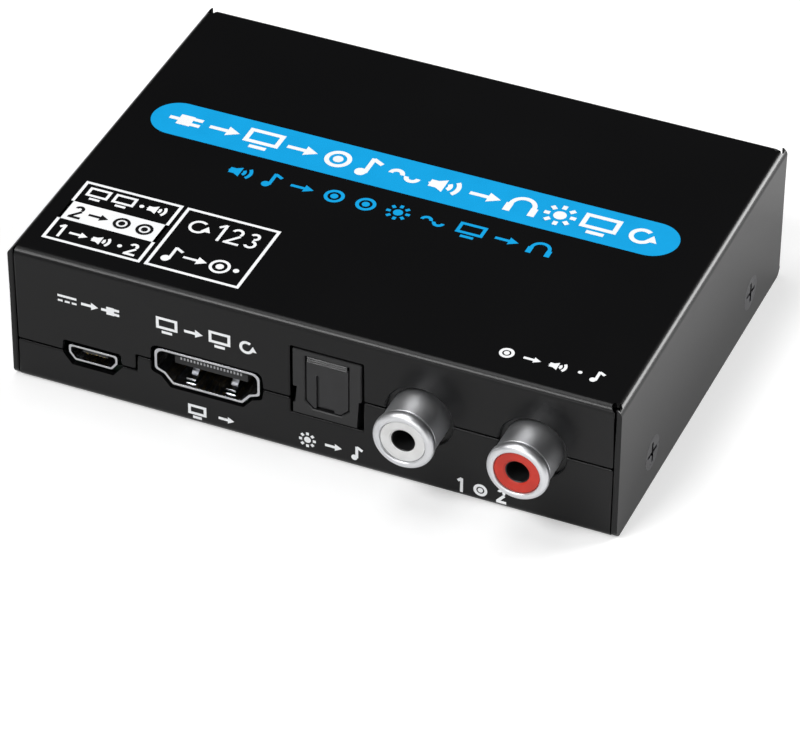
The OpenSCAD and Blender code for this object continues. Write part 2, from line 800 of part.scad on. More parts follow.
// One contact with gap g all round: along the tongue, through the block and down to the board
module video_contact(z, g) {
    w = video_contact_w + 2 * g;
    t = video_contact_t + 2 * g;
    bar(w, video_tongue_y + video_contact_set - g, video_back - video_tongue_y
        - video_contact_set + video_contact_t + 2 * g, z - g, t);
    bar(w, video_back - g, t, 0, z + video_contact_t + g);
    bar(w, video_back - g, video_foot_l + 2 * g, 0, video_contact_t + g);
}

// Every contact of one socket: one more in the upper row than in the lower
module video_contacts(g = 0) {
    for (i = [0:video_contact_count - 1])
        translate([(i - (video_contact_count - 1) / 2) * video_contact_pitch, 0, 0])
            video_contact(video_tongue_z + video_tongue_t, g);
    for (i = [0:video_contact_count - 2])
        translate([(i - (video_contact_count - 2) / 2) * video_contact_pitch, 0, 0])
            video_contact(video_tongue_z - video_contact_t, g);
}

module video_insulator() difference() {
    union() {
        bar(video_tongue_w, video_tongue_y, video_l - video_tongue_set - fit, video_tongue_z,
            video_tongue_t);
        translate([0, video_back - video_block_l / 2, 0]) along_y(video_block_l)
            polygon(rounded(grown(video_outline, -video_wall - fit), video_radii));
    }
    intersection() {
        video_contacts(fit);
        bar(video_w, video_back - video_block_l - cut, video_block_l + 2 * cut, 0,
            video_lift + video_h);
    }
}

module video_out_shell() color(nickel) at_front(video_out_x) video_shell();
module video_out_insulator() color(plastic_black) at_front(video_out_x) video_insulator();
module video_out_contacts() color(gold) at_front(video_out_x) video_contacts();
module video_in_shell() color(nickel) at_rear(video_in_x) video_shell();
module video_in_insulator() color(plastic_black) at_rear(video_in_x) video_insulator();
module video_in_contacts() color(gold) at_rear(video_in_x) video_contacts();

module power_inlet_shell() color(steel) at_front(power_x) {
    translate([0, power_recess + power_l / 2, 0]) along_y(power_l) difference() {
        polygon(rounded(power_outline, power_radii));
        polygon(rounded(grown(power_outline, -power_wall), power_radii));
    }
    for (sx = [-1, 1])
        translate([sx * (power_w / 2 - power_wall / 2), power_leg_y, -board_t - pin_tail])
            block([power_wall, power_leg_l, board_t + pin_tail + power_shoulder_h
                + power_leg_l / 2]);
}

module power_contact(g) {
    w = power_contact_w + 2 * g;
    bar(w, power_recess + power_tongue_set + power_contact_t - g, power_l - power_tongue_set
        + 2 * g, power_tongue_z - power_contact_t - g, power_contact_t + 2 * g);
    bar(w, power_back - g, power_contact_t + 2 * g, 0, power_tongue_z + g);
    bar(w, power_back - g, video_foot_l, 0, power_contact_t + g);
}

module power_contacts(g = 0) for (i = [0:power_contact_count - 1])
    translate([(i - (power_contact_count - 1) / 2) * power_contact_pitch, 0, 0])
        power_contact(g);

module power_inlet_tongue() color(plastic_black) at_front(power_x) difference() {
    union() {
        bar(power_tongue_w, power_recess + power_tongue_set, power_l - power_tongue_set - fit,
            power_tongue_z, power_tongue_t);
        translate([0, power_back - power_block_l / 2, 0]) along_y(power_block_l)
            polygon(rounded(grown(power_outline, -power_wall - fit), power_radii));
    }
    intersection() {
        power_contacts(fit);
        bar(power_w, power_back - power_block_l - cut, power_block_l + 2 * cut, 0, power_h);
    }
}

module power_inlet_contacts() color(gold) at_front(power_x) power_contacts();

// The plug opening: a square with its two lower corners cut off, grown outwards by g
module optical_mouth2d(g) {
    half = [[optical_mouth_w / 2 - optical_bevel, optical_lip_h],
        [optical_mouth_w / 2, optical_lip_h + optical_bevel],
        [optical_mouth_w / 2, optical_mouth_top]];
    polygon(grown(mirrored(half), g));
}

module optical_housing() color(plastic_black) at_front(optical_x) difference() {
    bar(optical_w, optical_recess, optical_l, 0, optical_h);
    bar(optical_w + 2 * cut, optical_recess - cut, sheet_t + behind_gap - optical_recess + cut,
        -cut, optical_sill_h + optical_sill_gap + cut);
    translate([optical_w / 2 - optical_waist_in, optical_recess - cut, -cut])
        cube([optical_waist_in + cut, optical_l + 2 * cut, optical_waist_z + cut]);
    translate([-optical_w / 2 - cut, optical_recess - cut, optical_waist_z - optical_left_notch_h])
        cube([optical_waist_in + cut, optical_l + 2 * cut, optical_left_notch_h]);
    translate([0, optical_back, 0]) along_y(2 * (optical_face_t + cut)) optical_mouth2d(0);
    bar(optical_cave_w, optical_back, optical_cave_l, optical_lip_h - shutter_lap - shutter_gap,
        optical_cave_top - optical_lip_h + shutter_lap + shutter_gap);
    bar(optical_rear_w, optical_back + optical_cave_l - cut, optical_l, optical_rear_z,
        optical_rear_h);
    translate([0, shutter_axis_y, shutter_axis_z]) rotate([0, 90, 0])
        cylinder(h = optical_cave_w + 2 * (shutter_pin_l + fit), r = shutter_pin_r + fit,
            center = true);
}

// The flap: a plate behind the opening with a raised panel in it, and a roll round its pin
module optical_shutter() color("#2a2a2c") at_front(optical_x) {
    roll_l = optical_cave_w - 2 * shutter_side_gap;
    plate_z = optical_lip_h - shutter_lap;
    translate([0, shutter_axis_y, shutter_axis_z]) rotate([0, 90, 0]) {
        cylinder(h = roll_l + 2 * shutter_pin_l, r = shutter_pin_r, center = true);
        translate([0, 0, spring_room / 2])
            cylinder(h = roll_l - spring_room, r = shutter_roll_r, center = true);
    }
    translate([spring_room / 2, 0, 0])
        bar(roll_l - spring_room, optical_back + shutter_gap, shutter_t,
            shutter_axis_z - shutter_roll_r - fit, shutter_roll_r + fit);
    difference() {
        union() {
            translate([0, optical_back + shutter_gap + shutter_t / 2, 0]) along_y(shutter_t)
                polygon(mirrored([[optical_mouth_w / 2 - optical_bevel, plate_z],
                    [roll_l / 2, plate_z + optical_bevel],
                    [roll_l / 2, shutter_axis_z - shutter_roll_r]]));
            intersection() {
                translate([0, optical_back, 0]) along_y(2 * optical_face_t)
                    optical_mouth2d(-shutter_gap);
                bar(optical_mouth_w, optical_recess + shutter_gap,
                    optical_face_t + 2 * shutter_gap, 0,
                    optical_mouth_top - shutter_panel_drop);
            }
        }
        translate([shutter_slot_x, 0, 0]) bar(shutter_slot_w, optical_recess - cut,
            shutter_slot_d + shutter_gap + cut, optical_lip_h,
            optical_mouth_h - shutter_slot_top);
        translate([shutter_slot_x - shutter_slot_w / 2, optical_recess - cut, optical_lip_h])
            cube([shutter_notch_w, shutter_slot_d + shutter_gap + cut, shutter_notch_h]);
        translate([-roll_l / 2 - cut, optical_back - fit,
            shutter_axis_z - spring_coil_r - spring_wire_r - spring_clear])
            cube([spring_room + cut, shutter_t + spring_coil_r, 2 * spring_coil_r]);
    }
}

// Points along the torsion spring: a leg down the shutter, the turns, and a leg to the rear
spring_x = -(optical_cave_w / 2 - shutter_side_gap - spring_wire_r - fit);
spring_angle = 360 * (spring_turns + 0.25);
spring_path = concat(
    [[spring_x, spring_coil_r, -spring_leg_l]],
    [for (i = [0:ceil(spring_angle / 360 * spring_turn_steps)])
        let (a = min(i * 360 / spring_turn_steps, spring_angle))
        [spring_x + spring_pitch * a / 360, spring_coil_r * cos(a), spring_coil_r * sin(a)]],
    [[spring_x + spring_pitch * spring_angle / 360, spring_leg_l, spring_coil_r]]);

function path_dir(path, i) = unit(path[min(i + 1, len(path) - 1)] - path[max(i - 1, 0)]);

// A round wire of radius r swept along a path that never runs along X
module wire(path, r, sides) {
    rings = [for (i = [0:len(path) - 1])
        let (d = path_dir(path, i), u = unit(cross(d, [1, 0, 0])), v = cross(d, u))
        for (k = [0:sides - 1]) path[i] + r * (cos(360 * k / sides) * u
            + sin(360 * k / sides) * v)];
    last = (len(path) - 1) * sides;
    faces = concat(
        [[for (k = [sides - 1:-1:0]) k]],
        [[for (k = [0:sides - 1]) last + k]],
        [for (i = [0:len(path) - 2], k = [0:sides - 1])
            let (a = i * sides + k, b = i * sides + (k + 1) % sides)
            each [[a, b, b + sides], [a, b + sides, a + sides]]]);
    polyhedron(rings, faces);
}

module optical_shutter_spring() color(steel) at_front(optical_x)
    translate([0, shutter_axis_y, shutter_axis_z]) wire(spring_path, spring_wire_r, spring_sides);

module optical_transmitter() color("#3a3a3d") at_front(optical_x) difference() {
    y0 = optical_back + optical_cave_l + fit;
    union() {
        bar(optical_rear_w - 2 * fit, y0, optical_recess + optical_l - y0, optical_rear_z + fit,
            optical_rear_h - 2 * fit);
        for (i = [-1:1]) translate([i * optical_pin_pitch, 0, 0]) {
            bar(optical_pin_w, optical_recess + optical_l - cut, 1.5 * optical_pin_w + cut,
                optical_rear_z + optical_rear_h / 2, optical_pin_w);
            bar(optical_pin_w, optical_pin_y - optical_pin_w / 2, optical_pin_w,
                -board_t - pin_tail, board_t + pin_tail + optical_rear_z + optical_rear_h / 2
                + optical_pin_w);
        }
    }
    translate([0, y0 + optical_window_r / 2, optical_lip_h + optical_mouth_w / 2])
        rotate([90, 0, 0]) cylinder(h = optical_window_r, r = optical_window_r);
}

module phono_housing() color(plastic_black) at_front(phono_x) difference() {
    height = phono_axis_h + phono_housing_top;
    translate([-phono_housing_side, phono_front, 0])
        cube([phono_pitch + 2 * phono_housing_side, phono_housing_l, height]);
    translate([phono_housing_side, phono_front + phono_housing_l / 2, -cut])
        cube([phono_pitch - 2 * phono_housing_side, phono_housing_l, height + 2 * cut]);
    for (i = [0, 1]) translate([i * phono_pitch, 0, phono_axis_h]) rotate([-90, 0, 0]) {
        translate([0, 0, phono_front - cut])
            cylinder(h = phono_seat_l + cut, r = phono_barrel_r + fit);
        cylinder(h = phono_back + cut, r = phono_bore_r + fit + phono_contact_wall + fit);
    }
}

// Half section of the rounded lip, from the bore outwards
module phono_lip2d(bore) difference() {
    union() {
        translate([bore, phono_lip_edge])
            square([phono_lip_r - phono_lip_round - bore, phono_lip_l - phono_lip_edge]);
        translate([bore + phono_lip_edge, 0])
            square([phono_lip_r - phono_lip_round - bore - phono_lip_edge, phono_lip_l]);
        translate([bore + phono_lip_edge, phono_lip_edge]) circle(phono_lip_edge);
        translate([bore, phono_lip_round])
            square([phono_lip_r - bore, phono_lip_l - phono_lip_round]);
        translate([phono_lip_r - phono_lip_round, phono_lip_round]) circle(phono_lip_round);
    }
    translate([bore - phono_lip_r, 0]) square([phono_lip_r, phono_lip_l + cut]);
}

// Turned barrel: its mouth stands phono_reach in front of the panel
module phono_barrel() rotate([-90, 0, 0]) translate([0, 0, -phono_reach])
    rotate_extrude() {
        seat = phono_reach + phono_front + phono_seat_l;
        bore = phono_insert_r + fit;
        groove = phono_lip_l + phono_groove_l;
        phono_lip2d(bore);
        translate([bore, phono_lip_l])
            square([phono_barrel_r - phono_groove_d - bore, seat - phono_lip_l]);
        translate([bore, groove]) square([phono_barrel_r - bore, seat - groove]);
    }

module at_phono(i) at_front(phono_x + i * phono_pitch) translate([0, 0, phono_axis_h])
    children();

module phono_insert() rotate([-90, 0, 0]) translate([0, 0, -phono_reach])
    rotate_extrude() {
        seat = phono_reach + phono_front + phono_seat_l;
        polygon([[phono_bore_r, phono_insert_set + phono_funnel_l],
            [phono_funnel_r, phono_insert_set], [phono_insert_r, phono_insert_set],
            [phono_insert_r, seat], [phono_bore_r, seat]]);
    }

// Spring sleeve for the plug pin, with a flat lug down into the board
module phono_contact() {
    outer = phono_bore_r + fit + phono_contact_wall;
    rotate([-90, 0, 0]) translate([0, 0, phono_back - phono_contact_l]) difference() {
        cylinder(h = phono_contact_l + phono_lug_t, r = outer);
        translate([0, 0, -cut]) cylinder(h = phono_contact_l + cut, r = phono_bore_r + fit);
    }
    bar(phono_lug_w, phono_back, phono_lug_t, -phono_axis_h - board_t - pin_tail,
        phono_axis_h + board_t + pin_tail);
}

module phono_left_barrel() color(nickel) at_phono(0) phono_barrel();
module phono_right_barrel() color(nickel) at_phono(1) phono_barrel();
module phono_left_insert() color("#e6e6e4") at_phono(0) phono_insert();
module phono_right_insert() color("#c9301f") at_phono(1) phono_insert();
module phono_left_contact() color(gold) at_phono(0) phono_contact();
module phono_right_contact() color(gold) at_phono(1) phono_contact();

// The side pockets that hold the three spring contacts, grown by g
module phone_pockets(g) for (i = [0:len(phone_contact_places) - 1]) {
    side = i % 2 == 0 ? 1 : -1;
    translate([side * (phone_body_bore_r + (phone_w / 2 - phone_body_bore_r) / 2),
        phone_front + phone_contact_places[i], 0])
        block([phone_w / 2 - phone_body_bore_r + cut, phone_contact_w + 2 * g,
            phone_axis_h + phone_contact_w / 2 + g]);
}

module audio_jack_body() color(plastic_black) at_rear(phone_x) difference() {
    bar(phone_w, phone_front, phone_l, 0, phone_h);
    translate([0, 0, phone_axis_h]) rotate([-90, 0, 0]) {
        cylinder(h = phone_front + phone_l + cut, r = phone_body_bore_r);
        cylinder(h = phone_front + phone_spigot_l + fit, r = phone_spigot_r + fit);
    }
    phone_pockets(fit);
}

module audio_jack_bushing() color(plastic_black) at_rear(phone_x)
    translate([0, 0, phone_axis_h]) rotate([-90, 0, 0]) difference() {
        union() {
            cylinder(h = phone_front, r = phone_ring_r);
            cylinder(h = phone_front + phone_spigot_l, r = phone_spigot_r);
        }
        translate([0, 0, -cut])
            cylinder(h = phone_front + phone_spigot_l + 2 * cut, r = phone_bore_r);
    }

module audio_jack_contacts() color(gold) at_rear(phone_x)
    for (i = [0:len(phone_contact_places) - 1]) {
        side = i % 2 == 0 ? 1 : -1;
        translate([side * (phone_body_bore_r + fit + phone_contact_t / 2),
            phone_front + phone_contact_places[i], 0])
            block([phone_contact_t, phone_contact_w, phone_axis_h + phone_contact_w / 2]);
        translate([side * (phone_body_bore_r + fit + phone_foot_l / 2),
            phone_front + phone_contact_places[i], 0])
            block([phone_foot_l, phone_contact_w, phone_contact_t]);
    }

// Folded frame of a slide switch: closed in front round the slot, open behind
module switch_frame(w, h, travel) {
    slot_w = lever_w + travel + 2 * switch_slot_gap;
    difference() {
        bar(w, switch_front, switch_d, 0, h);
        bar(w - 2 * switch_wall, switch_front + switch_wall, switch_d, switch_wall,
            h - 2 * switch_wall);
        bar(slot_w, switch_front - cut, switch_wall + 2 * cut, (h - lever_h) / 2
            - switch_slot_gap, lever_h + 2 * switch_slot_gap);
    }
    for (sx = [-1, 1]) {
        translate([sx * (w - switch_crimp_w) / 2, 0, 0])
            bar(switch_crimp_w, switch_front + switch_d, switch_wall,
                h - switch_wall - switch_crimp_h, switch_wall + switch_crimp_h);
        translate([sx * (w / 2 - switch_wall / 2), switch_front + switch_d / 2,
            -board_t - pin_tail])
            block([switch_wall, switch_leg_w, board_t + pin_tail + switch_wall]);
    }
}

module switch_base(w, h, xs) difference() {
    bar(w - 2 * (switch_wall + fit), switch_front + switch_d - switch_base_t, switch_base_t,
        switch_wall + fit, h - 2 * (switch_wall + fit));
    for (x = xs) translate([x, 0, 0])
        bar(switch_pin_w + 2 * fit, switch_front, switch_d + cut, h / 2 - switch_pin_t / 2 - fit,
            switch_pin_t + 2 * fit);
}

module switch_pins(h, xs) for (x = xs) translate([x, 0, 0]) {
    pad_y = switch_front + switch_d - switch_base_t - switch_pad_t;
    bar(switch_pad_w, pad_y, switch_pad_t, h / 2 - switch_pad_w / 2, switch_pad_w);
    bar(switch_pin_w, pad_y, switch_pin_y + switch_pin_t / 2 - pad_y, h / 2 - switch_pin_t / 2,
        switch_pin_t);
    bar(switch_pin_w, switch_pin_y - switch_pin_t / 2, switch_pin_t, -board_t - pin_tail,
        board_t + pin_tail + h / 2 + switch_pin_t / 2);
}

// Slider at the end of its travel: a block behind the frame, and a two-pronged lever
module switch_slider(w, h, travel) translate([travel / 2, 0, 0]) {
    bar(w - 2 * (switch_wall + switch_gap) - travel, slider_y, switch_block_d,
        switch_wall + switch_gap, h - 2 * (switch_wall + switch_gap));
    prong = lever_w * lever_prong_share;
    translate([0, 0, (h - lever_h) / 2]) linear_extrude(lever_h) polygon([
        [lever_w / 2, slider_y + switch_block_d / 2], [-lever_w / 2, slider_y + switch_block_d / 2],
        [-lever_w / 2, lever_chamfer - lever_reach], [-prong, -lever_reach],
        [0, lever_notch_d - lever_reach], [prong, -lever_reach],
        [lever_w / 2, lever_chamfer - lever_reach]]);
}

module switch_contact(h, travel) translate([travel / 2, slider_y + switch_block_d, 0]) {
    bar(switch_clip_w, 0, switch_clip_t, h / 2 - switch_pad_w / 2, switch_pad_w);
    for (sx = [-1, 1]) translate([sx * switch_bump_x, switch_clip_t, h / 2 - switch_pad_w / 2])
        intersection() {
            cylinder(h = switch_pad_w, r = switch_bump_r);
            translate([0, switch_bump_r / 2 - fit, 0]) block([2 * switch_bump_r,
                switch_bump_r + 2 * fit, switch_pad_w]);
        }
}

module two_way_switch_frame() color(zinc) at_rear(two_way_x)
    switch_frame(two_way_w, two_way_h, two_way_travel);
module two_way_switch_base() color("#5b3a22") at_rear(two_way_x)
    switch_base(two_way_w, two_way_h, two_way_pin_xs);
module two_way_switch_pins() color(steel) at_rear(two_way_x)
    switch_pins(two_way_h, two_way_pin_xs);
module two_way_switch_slider() color(plastic_black) at_rear(two_way_x)
    switch_slider(two_way_w, two_way_h, two_way_travel);
module two_way_switch_contact() color(gold) at_rear(two_way_x)
    switch_contact(two_way_h, two_way_travel);
module three_way_switch_frame() color(zinc) at_rear(three_way_x)
    switch_frame(three_way_w, three_way_h, three_way_travel);
module three_way_switch_base() color("#5b3a22") at_rear(three_way_x)
    switch_base(three_way_w, three_way_h, three_way_pin_xs);
module three_way_switch_pins() color(steel) at_rear(three_way_x)
    switch_pins(three_way_h, three_way_pin_xs);
module three_way_switch_slider() color(plastic_black) at_rear(three_way_x)
    switch_slider(three_way_w, three_way_h, three_way_travel);
module three_way_switch_contact() color(gold) at_rear(three_way_x)
    switch_contact(three_way_h, three_way_travel);

module at_lamps() for (x = [lamp_a_x, lamp_b_x]) at_rear(x) children();

module lamp_holders() color(plastic_black) at_lamps() difference() {
    bar(lamp_holder_w, lamp_front + lamp_stem, lamp_holder_d, 0, lamp_h + lamp_holder_rise);
    translate([0, lamp_front + lamp_stem - cut, lamp_h]) rotate([-90, 0, 0])
        cylinder(h = lamp_holder_d / 2 + cut, r = lamp_r + fit);
}

module lamp_lenses() color("#7ea8c8") at_lamps() translate([0, lamp_front + lamp_r, lamp_h]) {
    rotate([-90, 0, 0]) cylinder(h = lamp_stem + lamp_holder_d / 2 - lamp_r, r = lamp_r);
    intersection() {
        sphere(lamp_r);
        translate([0, -lamp_r / 2, -lamp_r]) block([2 * lamp_r, lamp_r, 2 * lamp_r]);
    }
}

// Moulded chip body with its corner dimple
module chip_body(size) difference() {
    translate([0, 0, chip_lift]) block([size[0], size[1], size[2] - chip_lift]);
    translate([-size[0] / 2 + chip_mark_in, -size[1] / 2 + chip_mark_in, size[2] - chip_mark_d])
        cylinder(h = chip_mark_d + cut, r = chip_mark_r);
}

// A row of gull-wing leads along one long side of a chip, y outwards from its middle
module lead_row(count, pitch, w, half, h) for (i = [0:count - 1])
    translate([(i - (count - 1) / 2) * pitch, half, 0]) rotate([90, 0, 90])
        linear_extrude(w, center = true) polygon([[0, h * lead_rise_share],
            [lead_shoulder - lead_t, h * lead_rise_share], [lead_shoulder, 0],
            [lead_shoulder + lead_foot, 0], [lead_shoulder + lead_foot, lead_t],
            [lead_shoulder + lead_t, lead_t], [lead_shoulder, h * lead_rise_share + lead_t],
            [0, h * lead_rise_share + lead_t]]);

module video_processor() color("#202022") on_board(processor_place_shares)
    block([processor_w, processor_w, processor_t]);

module heat_sink() color("#8d9196") on_board(processor_place_shares)
    translate([0, 0, processor_t]) {
        block([sink_w, sink_w, sink_base_t]);
        for (i = [0:sink_fins - 1])
            translate([(i / (sink_fins - 1) - 1 / 2) * (sink_w - sink_fin_t), 0, 0])
                block([sink_fin_t, sink_w, sink_h]);
    }

module audio_converter() color("#202022") on_board(converter_place_shares)
    chip_body(converter_size);

module audio_converter_leads() color(steel) on_board(converter_place_shares)
    for (turn = [0, 180]) rotate(turn) lead_row(converter_leads, converter_pitch,
        converter_lead_w, converter_size[1] / 2, converter_size[2]);

module microcontroller() color("#202022") on_board(controller_place_shares)
    chip_body(controller_size);

module microcontroller_leads() color(steel) on_board(controller_place_shares)
    for (turn = [0:90:270]) rotate(turn) lead_row(controller_leads, controller_pitch,
        controller_lead_w, controller_size[1] / 2, controller_size[2]);

module crystals() color(nickel) for (p = crystal_place_shares) on_board(p)
    block(crystal_size);

module filter_capacitor_cans() color(nickel) for (p = can_place_shares) on_board(p)
    translate([0, 0, can_base_t]) rotate_extrude() polygon([[0, 0], [can_r, 0],
        [can_r, can_groove_z - can_groove_d], [can_r - can_groove_d, can_groove_z],
        [can_r, can_groove_z + can_groove_d], [can_r, can_h - can_round],
        [can_r - can_round, can_h], [0, can_h]]);

module filter_capacitor_bases() color(plastic_black) for (p = can_place_shares) on_board(p)
    linear_extrude(can_base_t) difference() {
        square(can_base, center = true);
        for (sy = [-1, 1]) translate([can_base / 2, sy * can_base / 2]) rotate(45)
            square(can_base_chamfer * sqrt(2), center = true);
    }

module power_inductor() color("#4a4a4d") on_board(inductor_place_shares) difference() {
    linear_extrude(inductor_h) {
        square([inductor_w - 2 * inductor_round, inductor_w], center = true);
        square([inductor_w, inductor_w - 2 * inductor_round], center = true);
        for (sx = [-1, 1], sy = [-1, 1])
            translate([sx, sy] * (inductor_w / 2 - inductor_round)) circle(inductor_round);
    }
    translate([0, 0, inductor_h - inductor_dish_d])
        cylinder(h = inductor_dish_d + cut, r = inductor_dish_r);
}

module voltage_regulators() color("#202022") for (p = regulator_place_shares) on_board(p) {
    block(regulator_size);
    translate([0, regulator_size[1] / 2, 0])
        block([regulator_tab_w, 2 * regulator_tab_l, regulator_tab_t]);
    for (i = [-1:1]) translate([i * regulator_leg_pitch, -regulator_size[1] / 2, 0])
        block([regulator_leg_w, 2 * regulator_tab_l, regulator_tab_t]);
}

// Small ceramic parts set in a ring round the video processor
module ceramic_parts() color("#b59a72") on_board(processor_place_shares)
    for (turn = [0:90:270], i = [0:ceramic_per_side - 1]) rotate(turn)
        translate([(i - (ceramic_per_side - 1) / 2) * ceramic_pitch, ceramic_ring, 0])
            block(ceramic_size);

module pin_header() color(plastic_black) on_board(header_place_shares) {
    block([header_pins * header_pitch, header_pitch, header_h]);
    header_pin_xy() translate([0, 0, -board_t - pin_tail])
        block([header_pin_w, header_pin_w, board_t + pin_tail + header_h + header_pin_rise]);
}

top_cover();
base_tray();
cover_screws();
board_standoffs();
board_screws();
circuit_board();
power_inlet_shell();
power_inlet_tongue();
power_inlet_contacts();
video_out_shell();
video_out_insulator();
video_out_contacts();
video_in_shell();
video_in_insulator();
video_in_contacts();
optical_housing();
optical_shutter();
optical_shutter_spring();
optical_transmitter();
phono_housing();
phono_left_barrel();
phono_right_barrel();
phono_left_insert();
phono_right_insert();
phono_left_contact();
phono_right_contact();
audio_jack_body();
audio_jack_bushing();
audio_jack_contacts();
two_way_switch_frame();
two_way_switch_base();
two_way_switch_slider();
two_way_switch_contact();
two_way_switch_pins();
three_way_switch_frame();
three_way_switch_base();
three_way_switch_slider();
three_way_switch_contact();
three_way_switch_pins();
lamp_holders();
lamp_lenses();
video_processor();
heat_sink();
audio_converter();
audio_converter_leads();
microcontroller();
microcontroller_leads();
crystals();
filter_capacitor_cans();
filter_capacitor_bases();
power_inductor();
voltage_regulators();
ceramic_parts();
pin_header();
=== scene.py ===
"""Dresses a small folded-steel signal box with video, optical, phono and headphone sockets.

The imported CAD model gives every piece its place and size. This script breaks the edges of the
pieces that show, turns the round ones afresh, prints the marks on the paint, gives each piece its
finish and sets up a plain studio. Lengths are written in millimetres and turned to metres by mm().
"""

from __future__ import annotations

import json
import logging
import math
from collections.abc import Iterator, Sequence
from contextlib import contextmanager
from dataclasses import dataclass, field
from enum import Enum
from functools import partial

import bmesh
import bpy
from mathutils import Matrix, Vector

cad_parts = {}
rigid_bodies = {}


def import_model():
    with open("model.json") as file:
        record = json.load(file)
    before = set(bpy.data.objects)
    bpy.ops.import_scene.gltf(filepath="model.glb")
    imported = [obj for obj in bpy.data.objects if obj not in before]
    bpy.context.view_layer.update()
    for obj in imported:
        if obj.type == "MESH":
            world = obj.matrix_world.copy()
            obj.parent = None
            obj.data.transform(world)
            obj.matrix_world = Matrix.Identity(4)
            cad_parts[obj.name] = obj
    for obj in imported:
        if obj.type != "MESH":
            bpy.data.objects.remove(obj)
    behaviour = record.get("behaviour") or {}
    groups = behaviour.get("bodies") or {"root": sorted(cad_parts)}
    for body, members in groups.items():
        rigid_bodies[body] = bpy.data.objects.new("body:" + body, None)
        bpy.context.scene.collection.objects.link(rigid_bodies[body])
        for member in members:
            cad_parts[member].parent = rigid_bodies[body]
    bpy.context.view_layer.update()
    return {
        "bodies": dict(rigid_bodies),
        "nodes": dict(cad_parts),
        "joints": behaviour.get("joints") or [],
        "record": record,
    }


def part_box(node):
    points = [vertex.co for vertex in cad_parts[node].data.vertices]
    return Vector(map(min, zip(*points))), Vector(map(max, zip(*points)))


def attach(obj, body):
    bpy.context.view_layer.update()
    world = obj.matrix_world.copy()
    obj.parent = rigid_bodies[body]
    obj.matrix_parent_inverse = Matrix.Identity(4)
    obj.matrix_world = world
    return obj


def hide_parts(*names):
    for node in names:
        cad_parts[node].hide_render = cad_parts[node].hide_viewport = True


LOG = logging.getLogger("signal_box")

# Width of the photograph, in pixels
PICTURE_W = 800
# Values of a soft noise between which nearly all of it lies
NOISE_LOW = 0.3
NOISE_HIGH = 0.7
# Octaves of the fine and of the broad noise, and the weight of the fine one's higher octaves
FINE_DETAIL = 3.0
BROAD_DETAIL = 2.0
FINE_WEIGHT = 0.6
# Distances in mm under which two points are one, count as level, or lie on the same face
WELD = 0.001
LEVEL = 0.01
NEAR = 0.1
# Angles in degrees: of a needless edge, of one that is shaded smooth, of a sharp one that is
# broken, and how far a square one may be off
FLAT_ANGLE = 1.0
SMOOTH_ANGLE = 35.0
SHARP_ANGLE = 30.0
SQUARE_SLACK = 3.0
# Part of its unit normal from which a face counts as facing that way
FACING = 0.9
# How strongly broad faces draw the normals beside an edge to themselves
NORMAL_WEIGHT = 100


def mm(length: float) -> float:
    """Turns millimetres to Blender's metres."""
    return length / 1000.0


def point(x: float, y: float, z: float) -> Vector:
    """A place in metres from its millimetres."""
    return Vector((mm(x), mm(y), mm(z)))


def linear(colour: str) -> tuple[float, float, float, float]:
    """Turns an sRGB hex colour to linear red, green, blue and an alpha of 1.

    Args:
        colour: A string such as "#1a1a1b".

    Returns:
        The four values that a shader's colour socket takes.
    """
    shares = [int(colour[i:i + 2], 16) / 255.0 for i in (1, 3, 5)]
    red, green, blue = (s / 12.92 if s <= 0.04045 else ((s + 0.055) / 1.055) ** 2.4
                        for s in shares)
    return red, green, blue, 1.0


def pattern_scale(size_mm: float) -> float:
    """The texture scale at which one cell of a pattern is size_mm across."""
    return 1000.0 / size_mm


def add_node(tree: bpy.types.NodeTree, kind: str, inputs: dict | None = None,
             **settings: object) -> bpy.types.Node:
    """Adds a shader node with its settings, and sets or links its inputs.

    Args:
        tree: The node tree that takes the node.
        kind: The node's type without its common start, such as "TexNoise".
        inputs: Values or output sockets, by input name or number.
        **settings: Attributes of the node itself.

    Returns:
        The new node.
    """
    node = tree.nodes.new(f"ShaderNode{kind}")
    for name, value in settings.items():
        setattr(node, name, value)
    for name, value in (inputs or {}).items():
        if isinstance(value, bpy.types.NodeSocket):
            tree.links.new(value, node.inputs[name])
        else:
            node.inputs[name].default_value = value
    return node


